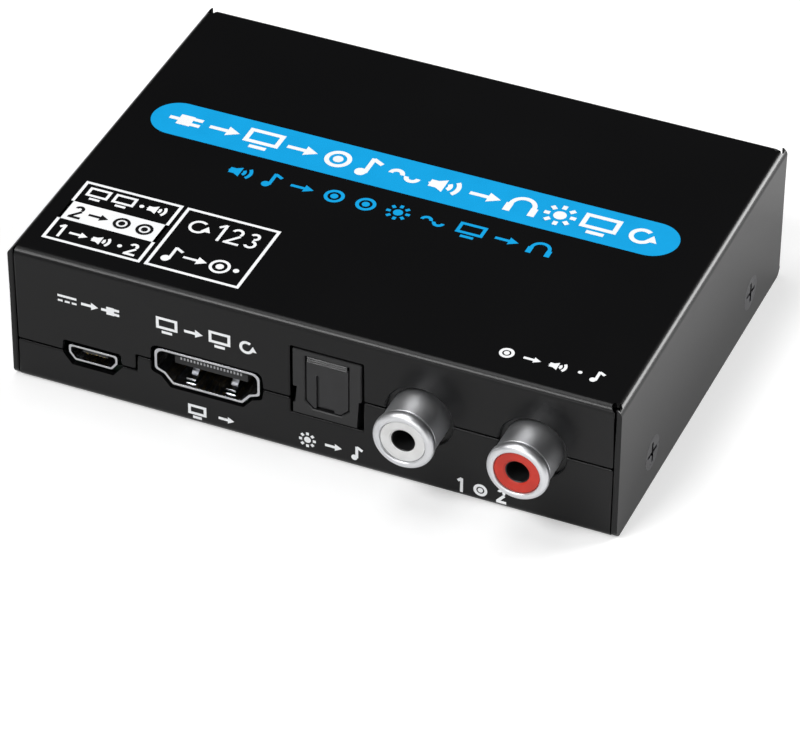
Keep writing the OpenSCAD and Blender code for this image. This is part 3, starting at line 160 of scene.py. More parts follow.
@dataclass(frozen=True)
class Finish:
    """A surface with a base colour, a fine grain and a broader unevenness.

    Attributes:
        colour: The sRGB colour that shows.
        deep: The sRGB colour of the pattern's darker parts.
        roughness: Typical roughness of such a surface.
        metallic: 1 for a metal and 0 for anything else.
        ior: Index of refraction, which a metal leaves as it is.
        grain: Width of the finest grain, in mm.
        relief: Depth of that grain, in mm.
        drift: Width of the broad patches in which the colour and gloss drift, in mm.
        spread: How far the roughness drifts each way.
        stretch: How many times longer the grain is along X, Y and Z.
        sheen: Strength of the shine of anything but a metal.
        clear: Share of the light that passes through.
        ramp_end: Value of the broad noise from which the colour is at its lightest.
    """

    colour: str
    deep: str
    roughness: float
    metallic: float = 0.0
    ior: float = 1.5
    grain: float = 0.25
    relief: float = 0.002
    drift: float = 6.0
    spread: float = 0.04
    stretch: tuple[float, float, float] = (1.0, 1.0, 1.0)
    sheen: float = 0.5
    clear: float = 0.0
    ramp_end: float = 0.65

    def build(self, name: str) -> bpy.types.Material:
        """Makes the material of this finish."""
        material = bpy.data.materials.new(name)
        material.use_nodes = True
        tree = material.node_tree
        tree.nodes.clear()
        place = add_node(tree, "TexCoord").outputs["Object"]
        drawn = add_node(tree, "Mapping",
                         {"Vector": place, "Scale": [1.0 / s for s in self.stretch]})
        grain = add_node(tree, "TexNoise",
                         {"Vector": drawn.outputs["Vector"], "Scale": pattern_scale(self.grain),
                          "Detail": FINE_DETAIL, "Roughness": FINE_WEIGHT})
        patches = add_node(tree, "TexNoise",
                           {"Vector": place, "Scale": pattern_scale(self.drift),
                            "Detail": BROAD_DETAIL})
        shade = self.tint(tree, place, patches.outputs["Fac"])
        gloss = add_node(tree, "MapRange",
                         {"Value": patches.outputs["Fac"], "From Min": NOISE_LOW,
                          "From Max": NOISE_HIGH,
                          "To Min": self.roughness - self.spread,
                          "To Max": self.roughness + self.spread})
        bump = add_node(tree, "Bump",
                        {"Height": grain.outputs["Fac"], "Distance": mm(self.relief),
                         "Strength": 1.0})
        shader = add_node(tree, "BsdfPrincipled",
                          {"Base Color": shade, "Roughness": gloss.outputs["Result"],
                           "Normal": bump.outputs["Normal"], "Metallic": self.metallic,
                           "Specular IOR Level": self.sheen,
                           "Transmission Weight": self.clear})
        if not self.metallic:
            shader.inputs["IOR"].default_value = self.ior
        add_node(tree, "OutputMaterial", {"Surface": shader.outputs["BSDF"]})
        return material

    def tint(self, tree: bpy.types.NodeTree, place: bpy.types.NodeSocket,
             patches: bpy.types.NodeSocket) -> bpy.types.NodeSocket:
        """Draws the colour over the surface.

        Args:
            tree: The material's node tree.
            place: Object coordinates.
            patches: The broad noise.

        Returns:
            The colour's output socket.
        """
        ramp = add_node(tree, "ValToRGB", {"Fac": patches})
        low, high = ramp.color_ramp.elements
        low.position, low.color = NOISE_LOW, linear(self.deep)
        high.position, high.color = self.ramp_end, linear(self.colour)
        return ramp.outputs["Color"]


@dataclass(frozen=True)
class EtchedBoard(Finish):
    """Glass laminate under green mask, with copper tracks as darker lines.

    Attributes:
        track: Distance between two tracks, in mm.
        line_share: Width of a track, as a share of that.
        run_share: Length of a straight run, as a multiple of it.
    """

    track: float = 1.27
    line_share: float = 0.16
    run_share: float = 3.0

    def tint(self, tree: bpy.types.NodeTree, place: bpy.types.NodeSocket,
             patches: bpy.types.NodeSocket) -> bpy.types.NodeSocket:
        """Draws the tracks as the joints of a brick pattern at the tracks' pitch."""
        pitch = mm(self.track)
        tracks = add_node(tree, "TexBrick",
                          {"Vector": place, "Color1": linear(self.colour),
                           "Color2": linear(self.colour), "Mortar": linear(self.deep),
                           "Scale": 1.0, "Mortar Size": pitch * self.line_share,
                           "Brick Width": pitch * self.run_share, "Row Height": pitch})
        return tracks.outputs["Color"]


class Slot(Enum):
    """The record's material slots, each with its finish.

    Most real grains here are finer than a pixel of the picture. They are drawn 0.1 to 0.35 mm
    wide, as coarse as they need to show.
    """

    # Stoved black enamel: half gloss, so it mirrors the pale floor at a low angle
    CASE_PAINT = Finish("#09090a", "#080809", 0.3, grain=0.35, relief=0.0025, drift=30.0,
                        spread=0.01, sheen=0.3)
    # Zinc-plated steel: grey, slightly cloudy
    FASTENER_ZINC = Finish("#a9abae", "#8b8e93", 0.36, 1.0, grain=0.2, drift=1.5, spread=0.06)
    # Black-oxide steel screws: dark with a dull metal edge
    SCREW_BLACK = Finish("#505053", "#3c3c40", 0.3, 1.0, grain=0.2, drift=1.2, spread=0.06)
    # Epoxy and glass board under a very dark green mask, which barely shows in the gaps
    BOARD_LAMINATE = EtchedBoard("#15261d", "#101d17", 0.5, grain=0.3)
    # Bright nickel over stamped steel: mirrors, with faint rolling marks
    SOCKET_NICKEL = Finish("#d6d7d9", "#c4c6ca", 0.2, 1.0, grain=0.15, relief=0.001, drift=3.0,
                           spread=0.05, stretch=(1.0, 6.0, 1.0))
    # Satin chrome over turned brass: a broad soft gradient round each barrel
    BARREL_CHROME = Finish("#ecedef", "#e2e3e6", 0.44, 1.0, grain=0.12, relief=0.0008, drift=3.0,
                           spread=0.03)
    # Thin gold over bronze contacts
    CONTACT_GOLD = Finish("#e0bc6a", "#c9a14c", 0.26, 1.0, grain=0.15, relief=0.001, drift=1.0)
    # Glass-filled nylon of the sockets: matt black with a fine tooth
    SOCKET_PLASTIC = Finish("#1b1b1c", "#151516", 0.48, grain=0.12, relief=0.003, drift=2.5)
    # The optical flap: the same nylon with a finer mould surface
    SHUTTER_PLASTIC = Finish("#1d1d1f", "#171718", 0.42, grain=0.12, drift=2.0)
    # White and red polypropylene: waxy, with a soft gloss
    INSERT_WHITE = Finish("#dedede", "#d4d4d3", 0.4, ior=1.49, grain=0.2, relief=0.0015,
                          drift=2.0)
    INSERT_RED = Finish("#c62c19", "#b62614", 0.4, ior=1.49, grain=0.2, relief=0.0015, drift=2.0)
    # Acetal levers: dense black with a dull shine
    LEVER_PLASTIC = Finish("#19191a", "#121213", 0.4, ior=1.48, grain=0.15, drift=1.5)
    # Tinned steel of the switch frames
    SWITCH_STEEL = Finish("#b9babd", "#a2a4a8", 0.32, 1.0, grain=0.2, relief=0.0015, drift=1.5,
                          stretch=(5.0, 1.0, 1.0))
    # Brown phenolic paper board
    BASE_LAMINATE = Finish("#7a4f2c", "#6b4426", 0.5, ior=1.6, grain=0.15, drift=1.5)
    # Hard-drawn spring steel, a dull grey beside the plated shells
    SPRING_STEEL = Finish("#8c8e92", "#76787e", 0.42, 1.0, grain=0.1, relief=0.001, drift=1.0)
    # Cast clear resin of the lamps, which stays glossy
    LAMP_RESIN = Finish("#dfe4e6", "#cfd6d9", 0.18, ior=1.55, grain=0.3, relief=0.0005,
                        drift=1.0, clear=0.7)
    # Transfer-moulded epoxy of chips: fine speckle, matt
    CHIP_RESIN = Finish("#1f1f20", "#17171a", 0.55, ior=1.55, grain=0.1, relief=0.003, drift=2.0)
    # Tin over copper leads
    LEAD_TIN = Finish("#c3c4c6", "#aeb0b3", 0.34, 1.0, grain=0.12, relief=0.001, drift=1.0)
    # Black-anodised extrusion, with its draw lines along the fins
    SINK_ALUMINIUM = Finish("#3a3b3d", "#2e2f31", 0.42, 1.0, grain=0.12, drift=2.0,
                            stretch=(1.0, 8.0, 1.0))
    # Impact-extruded cans: bright with upright draw lines
    CAN_ALUMINIUM = Finish("#cfd1d3", "#bcbec1", 0.26, 1.0, grain=0.15, relief=0.001, drift=1.5,
                           stretch=(1.0, 1.0, 8.0))
    # Sintered ferrite: dark grey and grainy
    FERRITE = Finish("#46464a", "#38383c", 0.5, ior=2.2, grain=0.1, relief=0.003, drift=1.0)
    # Glazed ceramic of the small parts
    PART_CERAMIC = Finish("#a88b63", "#93784f", 0.45, ior=1.7, grain=0.1, relief=0.001,
                          drift=0.8)

    @property
    def slot_name(self) -> str:
        """The slot's name in the record."""
        return self.name.lower()


class Ink(Enum):
    """Screen-printed inks: thin chalky films on the paint, with hardly any sheen."""

    WHITE_INK = Finish("#f2f3f4", "#eaecee", 0.7, grain=0.15, drift=3.0, sheen=0.1)
    BLUE_INK = Finish("#0b9edb", "#0a9ad6", 0.7, grain=0.15, drift=4.0, sheen=0.1)
    BLACK_INK = Finish("#161617", "#121213", 0.5, grain=0.15, drift=3.0, sheen=0.1)


def select_only(*objects: bpy.types.Object) -> None:
    """Selects just these objects, the last of them active."""
    bpy.ops.object.select_all(action="DESELECT")
    for item in objects:
        item.select_set(True)
    bpy.context.view_layer.objects.active = objects[-1]


def select_none() -> None:
    """Deselects every object before a new one is added."""
    bpy.ops.object.select_all(action="DESELECT")


def settle(item: bpy.types.Object) -> None:
    """Moves an object's place, turn and scale into its mesh."""
    select_only(item)
    bpy.ops.object.transform_apply(location=True, rotation=True, scale=True)


@contextmanager
def editing(item: bpy.types.Object) -> Iterator[None]:
    """Opens an object in edit mode and closes it again."""
    select_only(item)
    bpy.ops.object.mode_set(mode="EDIT")
    yield
    bpy.ops.object.mode_set(mode="OBJECT")


def named(name: str) -> bpy.types.Object:
    """Gives the active object and its mesh this name."""
    item = bpy.context.view_layer.objects.active
    item.name = name
    item.data.name = name
    return item


def apply_modifier(item: bpy.types.Object, kind: str, **settings: object) -> None:
    """Adds a modifier with its settings and applies it.

    Args:
        item: The object that is changed.
        kind: The modifier's type, such as "BEVEL".
        **settings: Attributes of the modifier.
    """
    select_only(item)
    modifier = item.modifiers.new(kind.lower(), kind)
    for name, value in settings.items():
        setattr(modifier, name, value)
    bpy.ops.object.modifier_apply(modifier=modifier.name)


def smooth(item: bpy.types.Object, angle: float = SMOOTH_ANGLE) -> None:
    """Shades the faces smooth wherever they meet at less than an angle, in degrees."""
    select_only(item)
    bpy.ops.object.shade_smooth_by_angle(angle=math.radians(angle))


def smooth_broad(item: bpy.types.Object, angle: float = SMOOTH_ANGLE) -> None:
    """Shades the faces smooth, as above, and keeps the broad ones even up to their edges."""
    smooth(item, angle)
    apply_modifier(item, "WEIGHTED_NORMAL", keep_sharp=True, weight=NORMAL_WEIGHT)


def break_edges(item: bpy.types.Object, width: float, segments: int = 2) -> None:
    """Rounds the sharp edges of an object.

    Args:
        item: The object that is changed.
        width: Width of the rounding, in mm.
        segments: Faces across the rounding.
    """
    apply_modifier(item, "BEVEL", width=mm(width), segments=segments, limit_method="ANGLE",
                   angle_limit=math.radians(SHARP_ANGLE), use_clamp_overlap=True,
                   miter_outer="MITER_ARC")
    smooth_broad(item)


def chamfer_long(item: bpy.types.Object, width: float, least: float) -> None:
    """Chamfers the long square edges of a sheet and leaves its bends and small arcs.

    Args:
        item: The object that is changed.
        width: Width of the chamfer, in mm.
        least: Length of the shortest edge that is chamfered, in mm.
    """
    with editing(item):
        bpy.ops.mesh.select_all(action="DESELECT")
        shape = bmesh.from_edit_mesh(item.data)
        for edge in shape.edges:
            if len(edge.link_faces) == 2 and edge.calc_length() > mm(least):
                off = abs(math.degrees(edge.calc_face_angle()) - 90.0)
                edge.select_set(off < SQUARE_SLACK)
        bmesh.update_edit_mesh(item.data)
        bpy.ops.mesh.bevel(offset=mm(width), segments=1, affect="EDGES", clamp_overlap=False)
    smooth_broad(item, SHARP_ANGLE)


def arc(centre: tuple[float, float], radius: float, start: float, end: float,
        steps: int = 8) -> list[tuple[float, float]]:
    """Points of an arc in a turned profile.

    Args:
        centre: The arc's radius from the axis and its depth, in mm.
        radius: The arc's own radius, in mm.
        start: First angle in degrees, 0 pointing away from the axis and 90 along it.
        end: Last angle.
        steps: Lengths that the arc is divided into.

    Returns:
        The points, each a radius and a depth.
    """
    angles = [math.radians(start + (end - start) * i / steps) for i in range(steps + 1)]
    return [(centre[0] + radius * math.cos(a), centre[1] + radius * math.sin(a))
            for a in angles]


def turned(name: str, profile: Sequence[tuple[float, float]], mouth: Vector,
           inwards: float, segments: int = 96) -> bpy.types.Object:
    """Turns a closed profile round an axis along Y, ring by ring, as on a lathe.

    Args:
        name: The piece's name.
        profile: Radius and depth of each ring, in mm, depth counted from the mouth.
        mouth: Where the axis meets the mouth, in metres.
        inwards: 1 where depth runs towards +Y and -1 where it runs towards -Y.
        segments: Faces round the axis.

    Returns:
        The turned piece.
    """
    radius, depth = profile[0]
    select_none()
    bpy.ops.mesh.primitive_circle_add(
        vertices=segments, radius=mm(radius), fill_type="NOTHING",
        location=mouth + Vector((0.0, inwards * mm(depth), 0.0)),
        rotation=(math.pi / 2, 0.0, 0.0))
    item = named(name)
    settle(item)
    with editing(item):
        bpy.ops.mesh.select_all(action="SELECT")
        for next_radius, next_depth in profile[1:]:
            bpy.ops.mesh.extrude_edges_move(
                TRANSFORM_OT_translate={"value": (0.0, inwards * mm(next_depth - depth), 0.0)})
            share = next_radius / radius
            bpy.ops.transform.resize(value=(share, 1.0, share), center_override=mouth)
            radius, depth = next_radius, next_depth
        bpy.ops.mesh.select_all(action="DESELECT")
        bpy.ops.mesh.select_non_manifold(extend=False, use_wire=False, use_multi_face=False,
                                         use_non_contiguous=False, use_verts=False)
        bpy.ops.mesh.bridge_edge_loops()
        bpy.ops.mesh.select_all(action="SELECT")
        bpy.ops.mesh.normals_make_consistent(inside=False)
    smooth(item)
    return item


@dataclass
class Bench:
    """The loaded CAD frame, with the finishes made so far.

    Attributes:
        finishes: Materials by name.
    """

    frame: dict
    finishes: dict[str, bpy.types.Material] = field(default_factory=dict)

    def finish(self, kind: Slot | Ink) -> bpy.types.Material:
        """The material of a finish, made at its first use."""
        name = kind.name.lower()
        if name not in self.finishes:
            self.finishes[name] = kind.value.build(name)
        return self.finishes[name]

    def body_of(self, node: str) -> str:
        """The CAD body that a node rides on."""
        bodies = self.frame["record"]["behaviour"]["bodies"]
        return next(body for body, nodes in bodies.items() if node in nodes)

    def paint(self, item: bpy.types.Object, kind: Slot | Ink) -> None:
        """Gives a new piece its finish."""
        item.data.materials.clear()
        item.data.materials.append(self.finish(kind))

    def keep(self, kind: Slot, *nodes: str) -> None:
        """Leaves CAD nodes as they are and gives them a finish.

        Args:
            kind: The record's slot and its finish.
            *nodes: The nodes' names.
        """
        for node in nodes:
            item = self.frame["nodes"][node]
            for holder in item.material_slots:
                holder.material = self.finish(kind)
            LOG.info("kept %s in %s", node, kind.slot_name)

    def replace(self, item: bpy.types.Object, node: str, kind: Slot) -> None:
        """Puts a piece in place of a CAD node, on that node's body and in its finish.

        Args:
            item: The new piece.
            node: The node that it stands for.
            kind: The record's slot and its finish.
        """
        self.paint(item, kind)
        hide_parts(node)
        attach(item, self.body_of(node))
        kind.slot_name
        LOG.info("made %s: %d faces", item.name, len(item.data.polygons))

    def add(self, item: bpy.types.Object, body: str, kind: Slot | Ink,
            slot: Slot | None = None) -> None:
        """Adds a piece that stands for no node of its own.

        Args:
            item: The new piece.
            body: The CAD body that it rides on.
            kind: Its finish.
            slot: The record's slot, where the finish is an ink on it.
        """
        self.paint(item, kind)
        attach(item, body)
        (slot or kind).slot_name
        LOG.info("added %s: %d faces", item.name, len(item.data.polygons))

    def merged(self, node: str) -> bpy.types.Object:
        """A copy of a CAD node's mesh, joined up and cleared of needless edges."""
        mesh = self.frame["nodes"][node].data.copy()
        item = bpy.data.objects.new(f"{node}_finished", mesh)
        bpy.context.scene.collection.objects.link(item)
        with editing(item):
            bpy.ops.mesh.select_all(action="SELECT")
            bpy.ops.mesh.remove_doubles(threshold=mm(WELD))
            bpy.ops.mesh.dissolve_limited(angle_limit=math.radians(FLAT_ANGLE))
        return item

    def dress(self, node: str, kind: Slot, edge: float, segments: int = 2) -> None:
        """Replaces a CAD node by a copy with broken edges.

        Args:
            node: The node's name.
            kind: The record's slot and its finish.
            edge: Width of the broken edges, in mm.
            segments: Faces across each edge.
        """
        item = self.merged(node)
        break_edges(item, edge, segments)
        self.replace(item, node, kind)

    def dress_sheet(self, node: str, kind: Slot, edge: float, least: float) -> None:
        """Replaces a CAD node by a copy with chamfers on its long square edges.

        Args:
            node: The node's name.
            kind: The record's slot and its finish.
            edge: Width of the chamfers, in mm.
            least: Length of the shortest edge that gets one, in mm.
        """
        item = self.merged(node)
        chamfer_long(item, edge, least)
        self.replace(item, node, kind)


class Pen(Enum):
    """The ways in which a part of a printed mark is drawn."""

    BAR = "bar"
    LINE = "line"
    FRAME = "frame"
    DISC = "disc"
    RING = "ring"
    WEDGE = "wedge"


@dataclass(frozen=True)
class Stroke:
    """One part of a mark, on a square whose side is the mark's height.

    Attributes:
        pen: How the part is drawn.
        place: Two corners of a bar or frame, two ends of a line, or a centre and a radius.
        turn: First and last angle of a ring, or the way that a wedge points, in degrees.
    """

    pen: Pen
    place: tuple[float, ...]
    turn: tuple[float, float] = (0.0, 360.0)


def make_stroke(pen: Pen, *place: float,
                turn: tuple[float, float] = (0.0, 360.0)) -> Stroke:
    """One part of a mark, from its measures as shares of the mark's height."""
    return Stroke(pen, place, turn)


bar, line, outline, disc, ring, wedge = (partial(make_stroke, pen) for pen in Pen)


class Mark(Enum):
    """Plain pictograms and figures, each with its width and its strokes."""

    PLUG = (1.15, (bar(0.3, 0.25, 0.75, 0.75), line(0.0, 0.5, 0.3, 0.5),
                   line(0.75, 0.36, 1.05, 0.36), line(0.75, 0.64, 1.05, 0.64)))
    SCREEN = (1.2, (outline(0.0, 0.25, 1.15, 0.95), line(0.3, 0.07, 0.85, 0.07)))
    ARROW = (1.0, (line(0.0, 0.5, 0.65, 0.5), wedge(0.72, 0.5, 0.27)))
    ARROW_BACK = (1.0, (line(0.35, 0.5, 1.0, 0.5), wedge(0.28, 0.5, 0.27, turn=(180.0, 180.0))))
    SPEAKER = (1.1, (bar(0.0, 0.33, 0.22, 0.67), wedge(0.3, 0.5, 0.36, turn=(180.0, 180.0)),
                     ring(0.42, 0.5, 0.3, turn=(-42.0, 42.0)),
                     ring(0.42, 0.5, 0.56, turn=(-42.0, 42.0))))
    HEADPHONES = (1.0, (ring(0.5, 0.5, 0.44, turn=(0.0, 180.0)), bar(0.0, 0.1, 0.22, 0.5),
                        bar(0.78, 0.1, 1.0, 0.5)))
    RAYS = (1.0, (disc(0.5, 0.5, 0.2), line(0.5, 0.82, 0.5, 1.0), line(0.5, 0.0, 0.5, 0.18),
                  line(0.82, 0.5, 1.0, 0.5), line(0.0, 0.5, 0.18, 0.5),
                  line(0.73, 0.73, 0.86, 0.86), line(0.14, 0.14, 0.27, 0.27),
                  line(0.14, 0.86, 0.27, 0.73), line(0.73, 0.27, 0.86, 0.14)))
    SOCKET = (0.95, (ring(0.475, 0.5, 0.42), disc(0.475, 0.5, 0.16)))
    DOT = (0.3, (disc(0.15, 0.5, 0.12),))
    WAVE = (1.2, (ring(0.3, 0.5, 0.26, turn=(0.0, 180.0)),
                  ring(0.82, 0.5, 0.26, turn=(180.0, 360.0))))
    NOTE = (0.75, (disc(0.2, 0.18, 0.18), line(0.34, 0.18, 0.34, 0.95),
                   line(0.34, 0.92, 0.68, 0.74)))
    LOOP = (1.1, (ring(0.5, 0.5, 0.38, turn=(50.0, 340.0)),
                  wedge(0.84, 0.42, 0.22, turn=(90.0, 90.0))))
    DIRECT = (1.2, (bar(0.0, 0.6, 1.1, 0.74), bar(0.0, 0.3, 0.28, 0.42),
                    bar(0.41, 0.3, 0.69, 0.42), bar(0.82, 0.3, 1.1, 0.42)))
    ONE = (0.45, (line(0.28, 0.0, 0.28, 1.0), line(0.05, 0.78, 0.28, 0.98)))
    TWO = (0.65, (ring(0.3, 0.72, 0.24, turn=(-40.0, 170.0)), line(0.48, 0.55, 0.06, 0.07),
                  line(0.0, 0.06, 0.6, 0.06)))
    THREE = (0.62, (ring(0.27, 0.74, 0.21, turn=(-90.0, 160.0)),
                    ring(0.27, 0.28, 0.24, turn=(-160.0, 90.0))))


@dataclass(frozen=True)
class Row:
    """Marks that are spread evenly between two edges, from the printed face's lower left corner.

    Attributes:
        names: The marks' names in order, parted by blanks.
        left: Left edge of the row, in mm.
        right: Its right edge.
        middle: Height of its middle.
        height: Height of its marks.
    """

    names: str
    left: float
    right: float
    middle: float
    height: float

    @property
    def marks(self) -> list[Mark]:
        """The marks themselves."""
        return [Mark[name] for name in self.names.split()]


class Face(Enum):
    """The case's printed faces, each with the turn from a flat sheet to the face."""

    TOP = Matrix.Identity(4)
    FRONT = Matrix.Rotation(math.pi / 2, 4, "X")
    REAR = Matrix.Rotation(math.pi, 4, "Z") @ Matrix.Rotation(math.pi / 2, 4, "X")


@dataclass
class Stencil:
    """A flat sheet of marks, drawn shape by shape and then laid on a face as a film of ink.

    Attributes:
        name: The film's name.
        pen: Width of a line, in mm.
        film: Thickness of the ink, in mm.
        sides: Sides of a full disc.
        step: How far each stroke of a mark lies over the one before, so that none coincide.
        level: Height at which the next shape is drawn.
        item: The sheet while it is drawn on.
    """

    name: str
    pen: float = 0.3
    film: float = 0.03
    sides: int = 28
    step: float = 0.003
    level: float = 0.0
    item: bpy.types.Object | None = None

    def slab(self, x: float, y: float, w: float, h: float, angle: float = 0.0) -> None:
        """Draws a filled rectangle about a centre, turned by an angle in degrees."""
        centre = point(x, y, self.level)
        bpy.ops.mesh.select_all(action="DESELECT")
        bpy.ops.mesh.primitive_plane_add(size=mm(w), location=centre)
        bpy.ops.transform.resize(value=(1.0, h / w, 1.0), center_override=centre)
        bpy.ops.transform.rotate(value=-math.radians(angle), orient_axis="Z",
                                 center_override=centre)

    def round(self, x: float, y: float, radius: float, sides: int = 0,
              angle: float = 0.0) -> None:
        """Draws a filled disc, or a regular shape with fewer sides, its first corner turned."""
        bpy.ops.mesh.select_all(action="DESELECT")
        bpy.ops.mesh.primitive_circle_add(
            vertices=sides or self.sides, radius=mm(radius), fill_type="NGON",
            location=point(x, y, self.level), rotation=(0.0, 0.0, math.radians(angle)))

    def hollow(self, width: float) -> None:
        """Opens the shape that was drawn last, leaving a border of a width."""
        bpy.ops.mesh.inset(thickness=mm(width), depth=0.0)
        bpy.ops.mesh.delete(type="FACE")

    def part_ring(self, x: float, y: float, radius: float, width: float,
                  turn: tuple[float, float]) -> None:
        """Draws a ring, or the part of it between two angles.

        Args:
            x: The ring's centre.
            y: The ring's centre.
            radius: The ring's outer radius.
            width: Width of its line, where a width of 0 leaves it filled.
            turn: First and last angle, in degrees.
        """
        bpy.ops.mesh.select_all(action="SELECT")
        bpy.ops.mesh.hide(unselected=False)
        self.round(x, y, radius)
        if width:
            self.hollow(width)
        else:
            bpy.ops.mesh.poke()
        shape = bmesh.from_edit_mesh(self.item.data)
        for shown in (face for face in shape.faces if not face.hide):
            place = shown.calc_center_median()
            angle = math.degrees(math.atan2(place.y - mm(y), place.x - mm(x)))
            shown.select_set((angle - turn[0]) % 360.0 > turn[1] - turn[0])
        bmesh.update_edit_mesh(self.item.data)
        if any(face.select for face in bmesh.from_edit_mesh(self.item.data).faces):
            bpy.ops.mesh.delete(type="FACE")
        bpy.ops.mesh.reveal(select=False)

    def draw(self, mark: Mark, x: float, y: float, h: float) -> None:
        """Draws a mark from its lower left corner.

        Args:
            mark: The pictogram or figure.
            x: Left edge, in mm.
            y: Lower edge, in mm.
            h: Height, in mm.
        """
        for number, stroke in enumerate(mark.value[1]):
            self.level = number * self.step
            place = [value * h for value in stroke.place]
            if stroke.pen in (Pen.BAR, Pen.FRAME, Pen.LINE):
                x0, y0, x1, y1 = place
                middle = x + (x0 + x1) / 2, y + (y0 + y1) / 2
            if stroke.pen is Pen.BAR:
                self.slab(*middle, x1 - x0, y1 - y0)
            elif stroke.pen is Pen.FRAME:
                self.slab(*middle, x1 - x0, y1 - y0)
                self.hollow(self.pen)
            elif stroke.pen is Pen.LINE:
                self.slab(*middle, math.hypot(x1 - x0, y1 - y0), self.pen,
                          math.degrees(math.atan2(y1 - y0, x1 - x0)))
            elif stroke.pen is Pen.DISC:
                self.round(x + place[0], y + place[1], place[2])
            elif stroke.pen is Pen.WEDGE:
                self.round(x + place[0], y + place[1], place[2], 3, stroke.turn[0] - 90.0)
            else:
                self.part_ring(x + place[0], y + place[1], place[2], self.pen, stroke.turn)
        self.level = 0.0

    def row(self, row: Row) -> None:
        """Draws a row of marks, spread evenly between its edges."""
        taken = sum(mark.value[0] for mark in row.marks) * row.height
        gap = (row.right - row.left - taken) / max(len(row.marks) - 1, 1)
        left = row.left
        for mark in row.marks:
            self.draw(mark, left, row.middle - row.height / 2, row.height)
            left += mark.value[0] * row.height + gap

    @contextmanager
    def drawing(self) -> Iterator["Stencil"]:
        """Begins an empty sheet and keeps it in edit mode while it is drawn on."""
        select_none()
        bpy.ops.mesh.primitive_plane_add(size=mm(1.0), location=(0.0, 0.0, 0.0))
        self.item = named(self.name)
        with editing(self.item):
            bpy.ops.mesh.select_all(action="SELECT")
            bpy.ops.mesh.delete(type="VERT")
            yield self

    def lay(self, face: Face, place: Vector) -> bpy.types.Object:
        """Gives the sheet its thickness and lays it on a face.

        Args:
            face: The face that is printed.
            place: Where the sheet's own origin goes, in metres.

        Returns:
            The film.
        """
        apply_modifier(self.item, "SOLIDIFY", thickness=mm(self.film), offset=1.0)
        self.item.matrix_world = Matrix.Translation(place) @ face.value
        settle(self.item)
        return self.item


@dataclass
class Case:
    """The folded cover and tray, with the side screws and the standoffs' rivets.

    Attributes:
        sheet_edge: Width of the chamfer on the sheared edges of the sheet, in mm.
        least: Length of the shortest edge that gets it.
        screw_edge: Width of the rounding on the screws.
    """

    sheet_edge: float = 0.18
    least: float = 0.6
    screw_edge: float = 0.14

    def build(self, bench: Bench) -> None:
        """Dresses the sheets and the fasteners."""
        for node in ("top_cover", "base_tray"):
            bench.dress_sheet(node, Slot.CASE_PAINT, self.sheet_edge, self.least)
        bench.dress("cover_screws", Slot.SCREW_BLACK, self.screw_edge)
        bench.dress("board_standoffs", Slot.FASTENER_ZINC, self.screw_edge)
        bench.keep(Slot.FASTENER_ZINC, "board_screws")


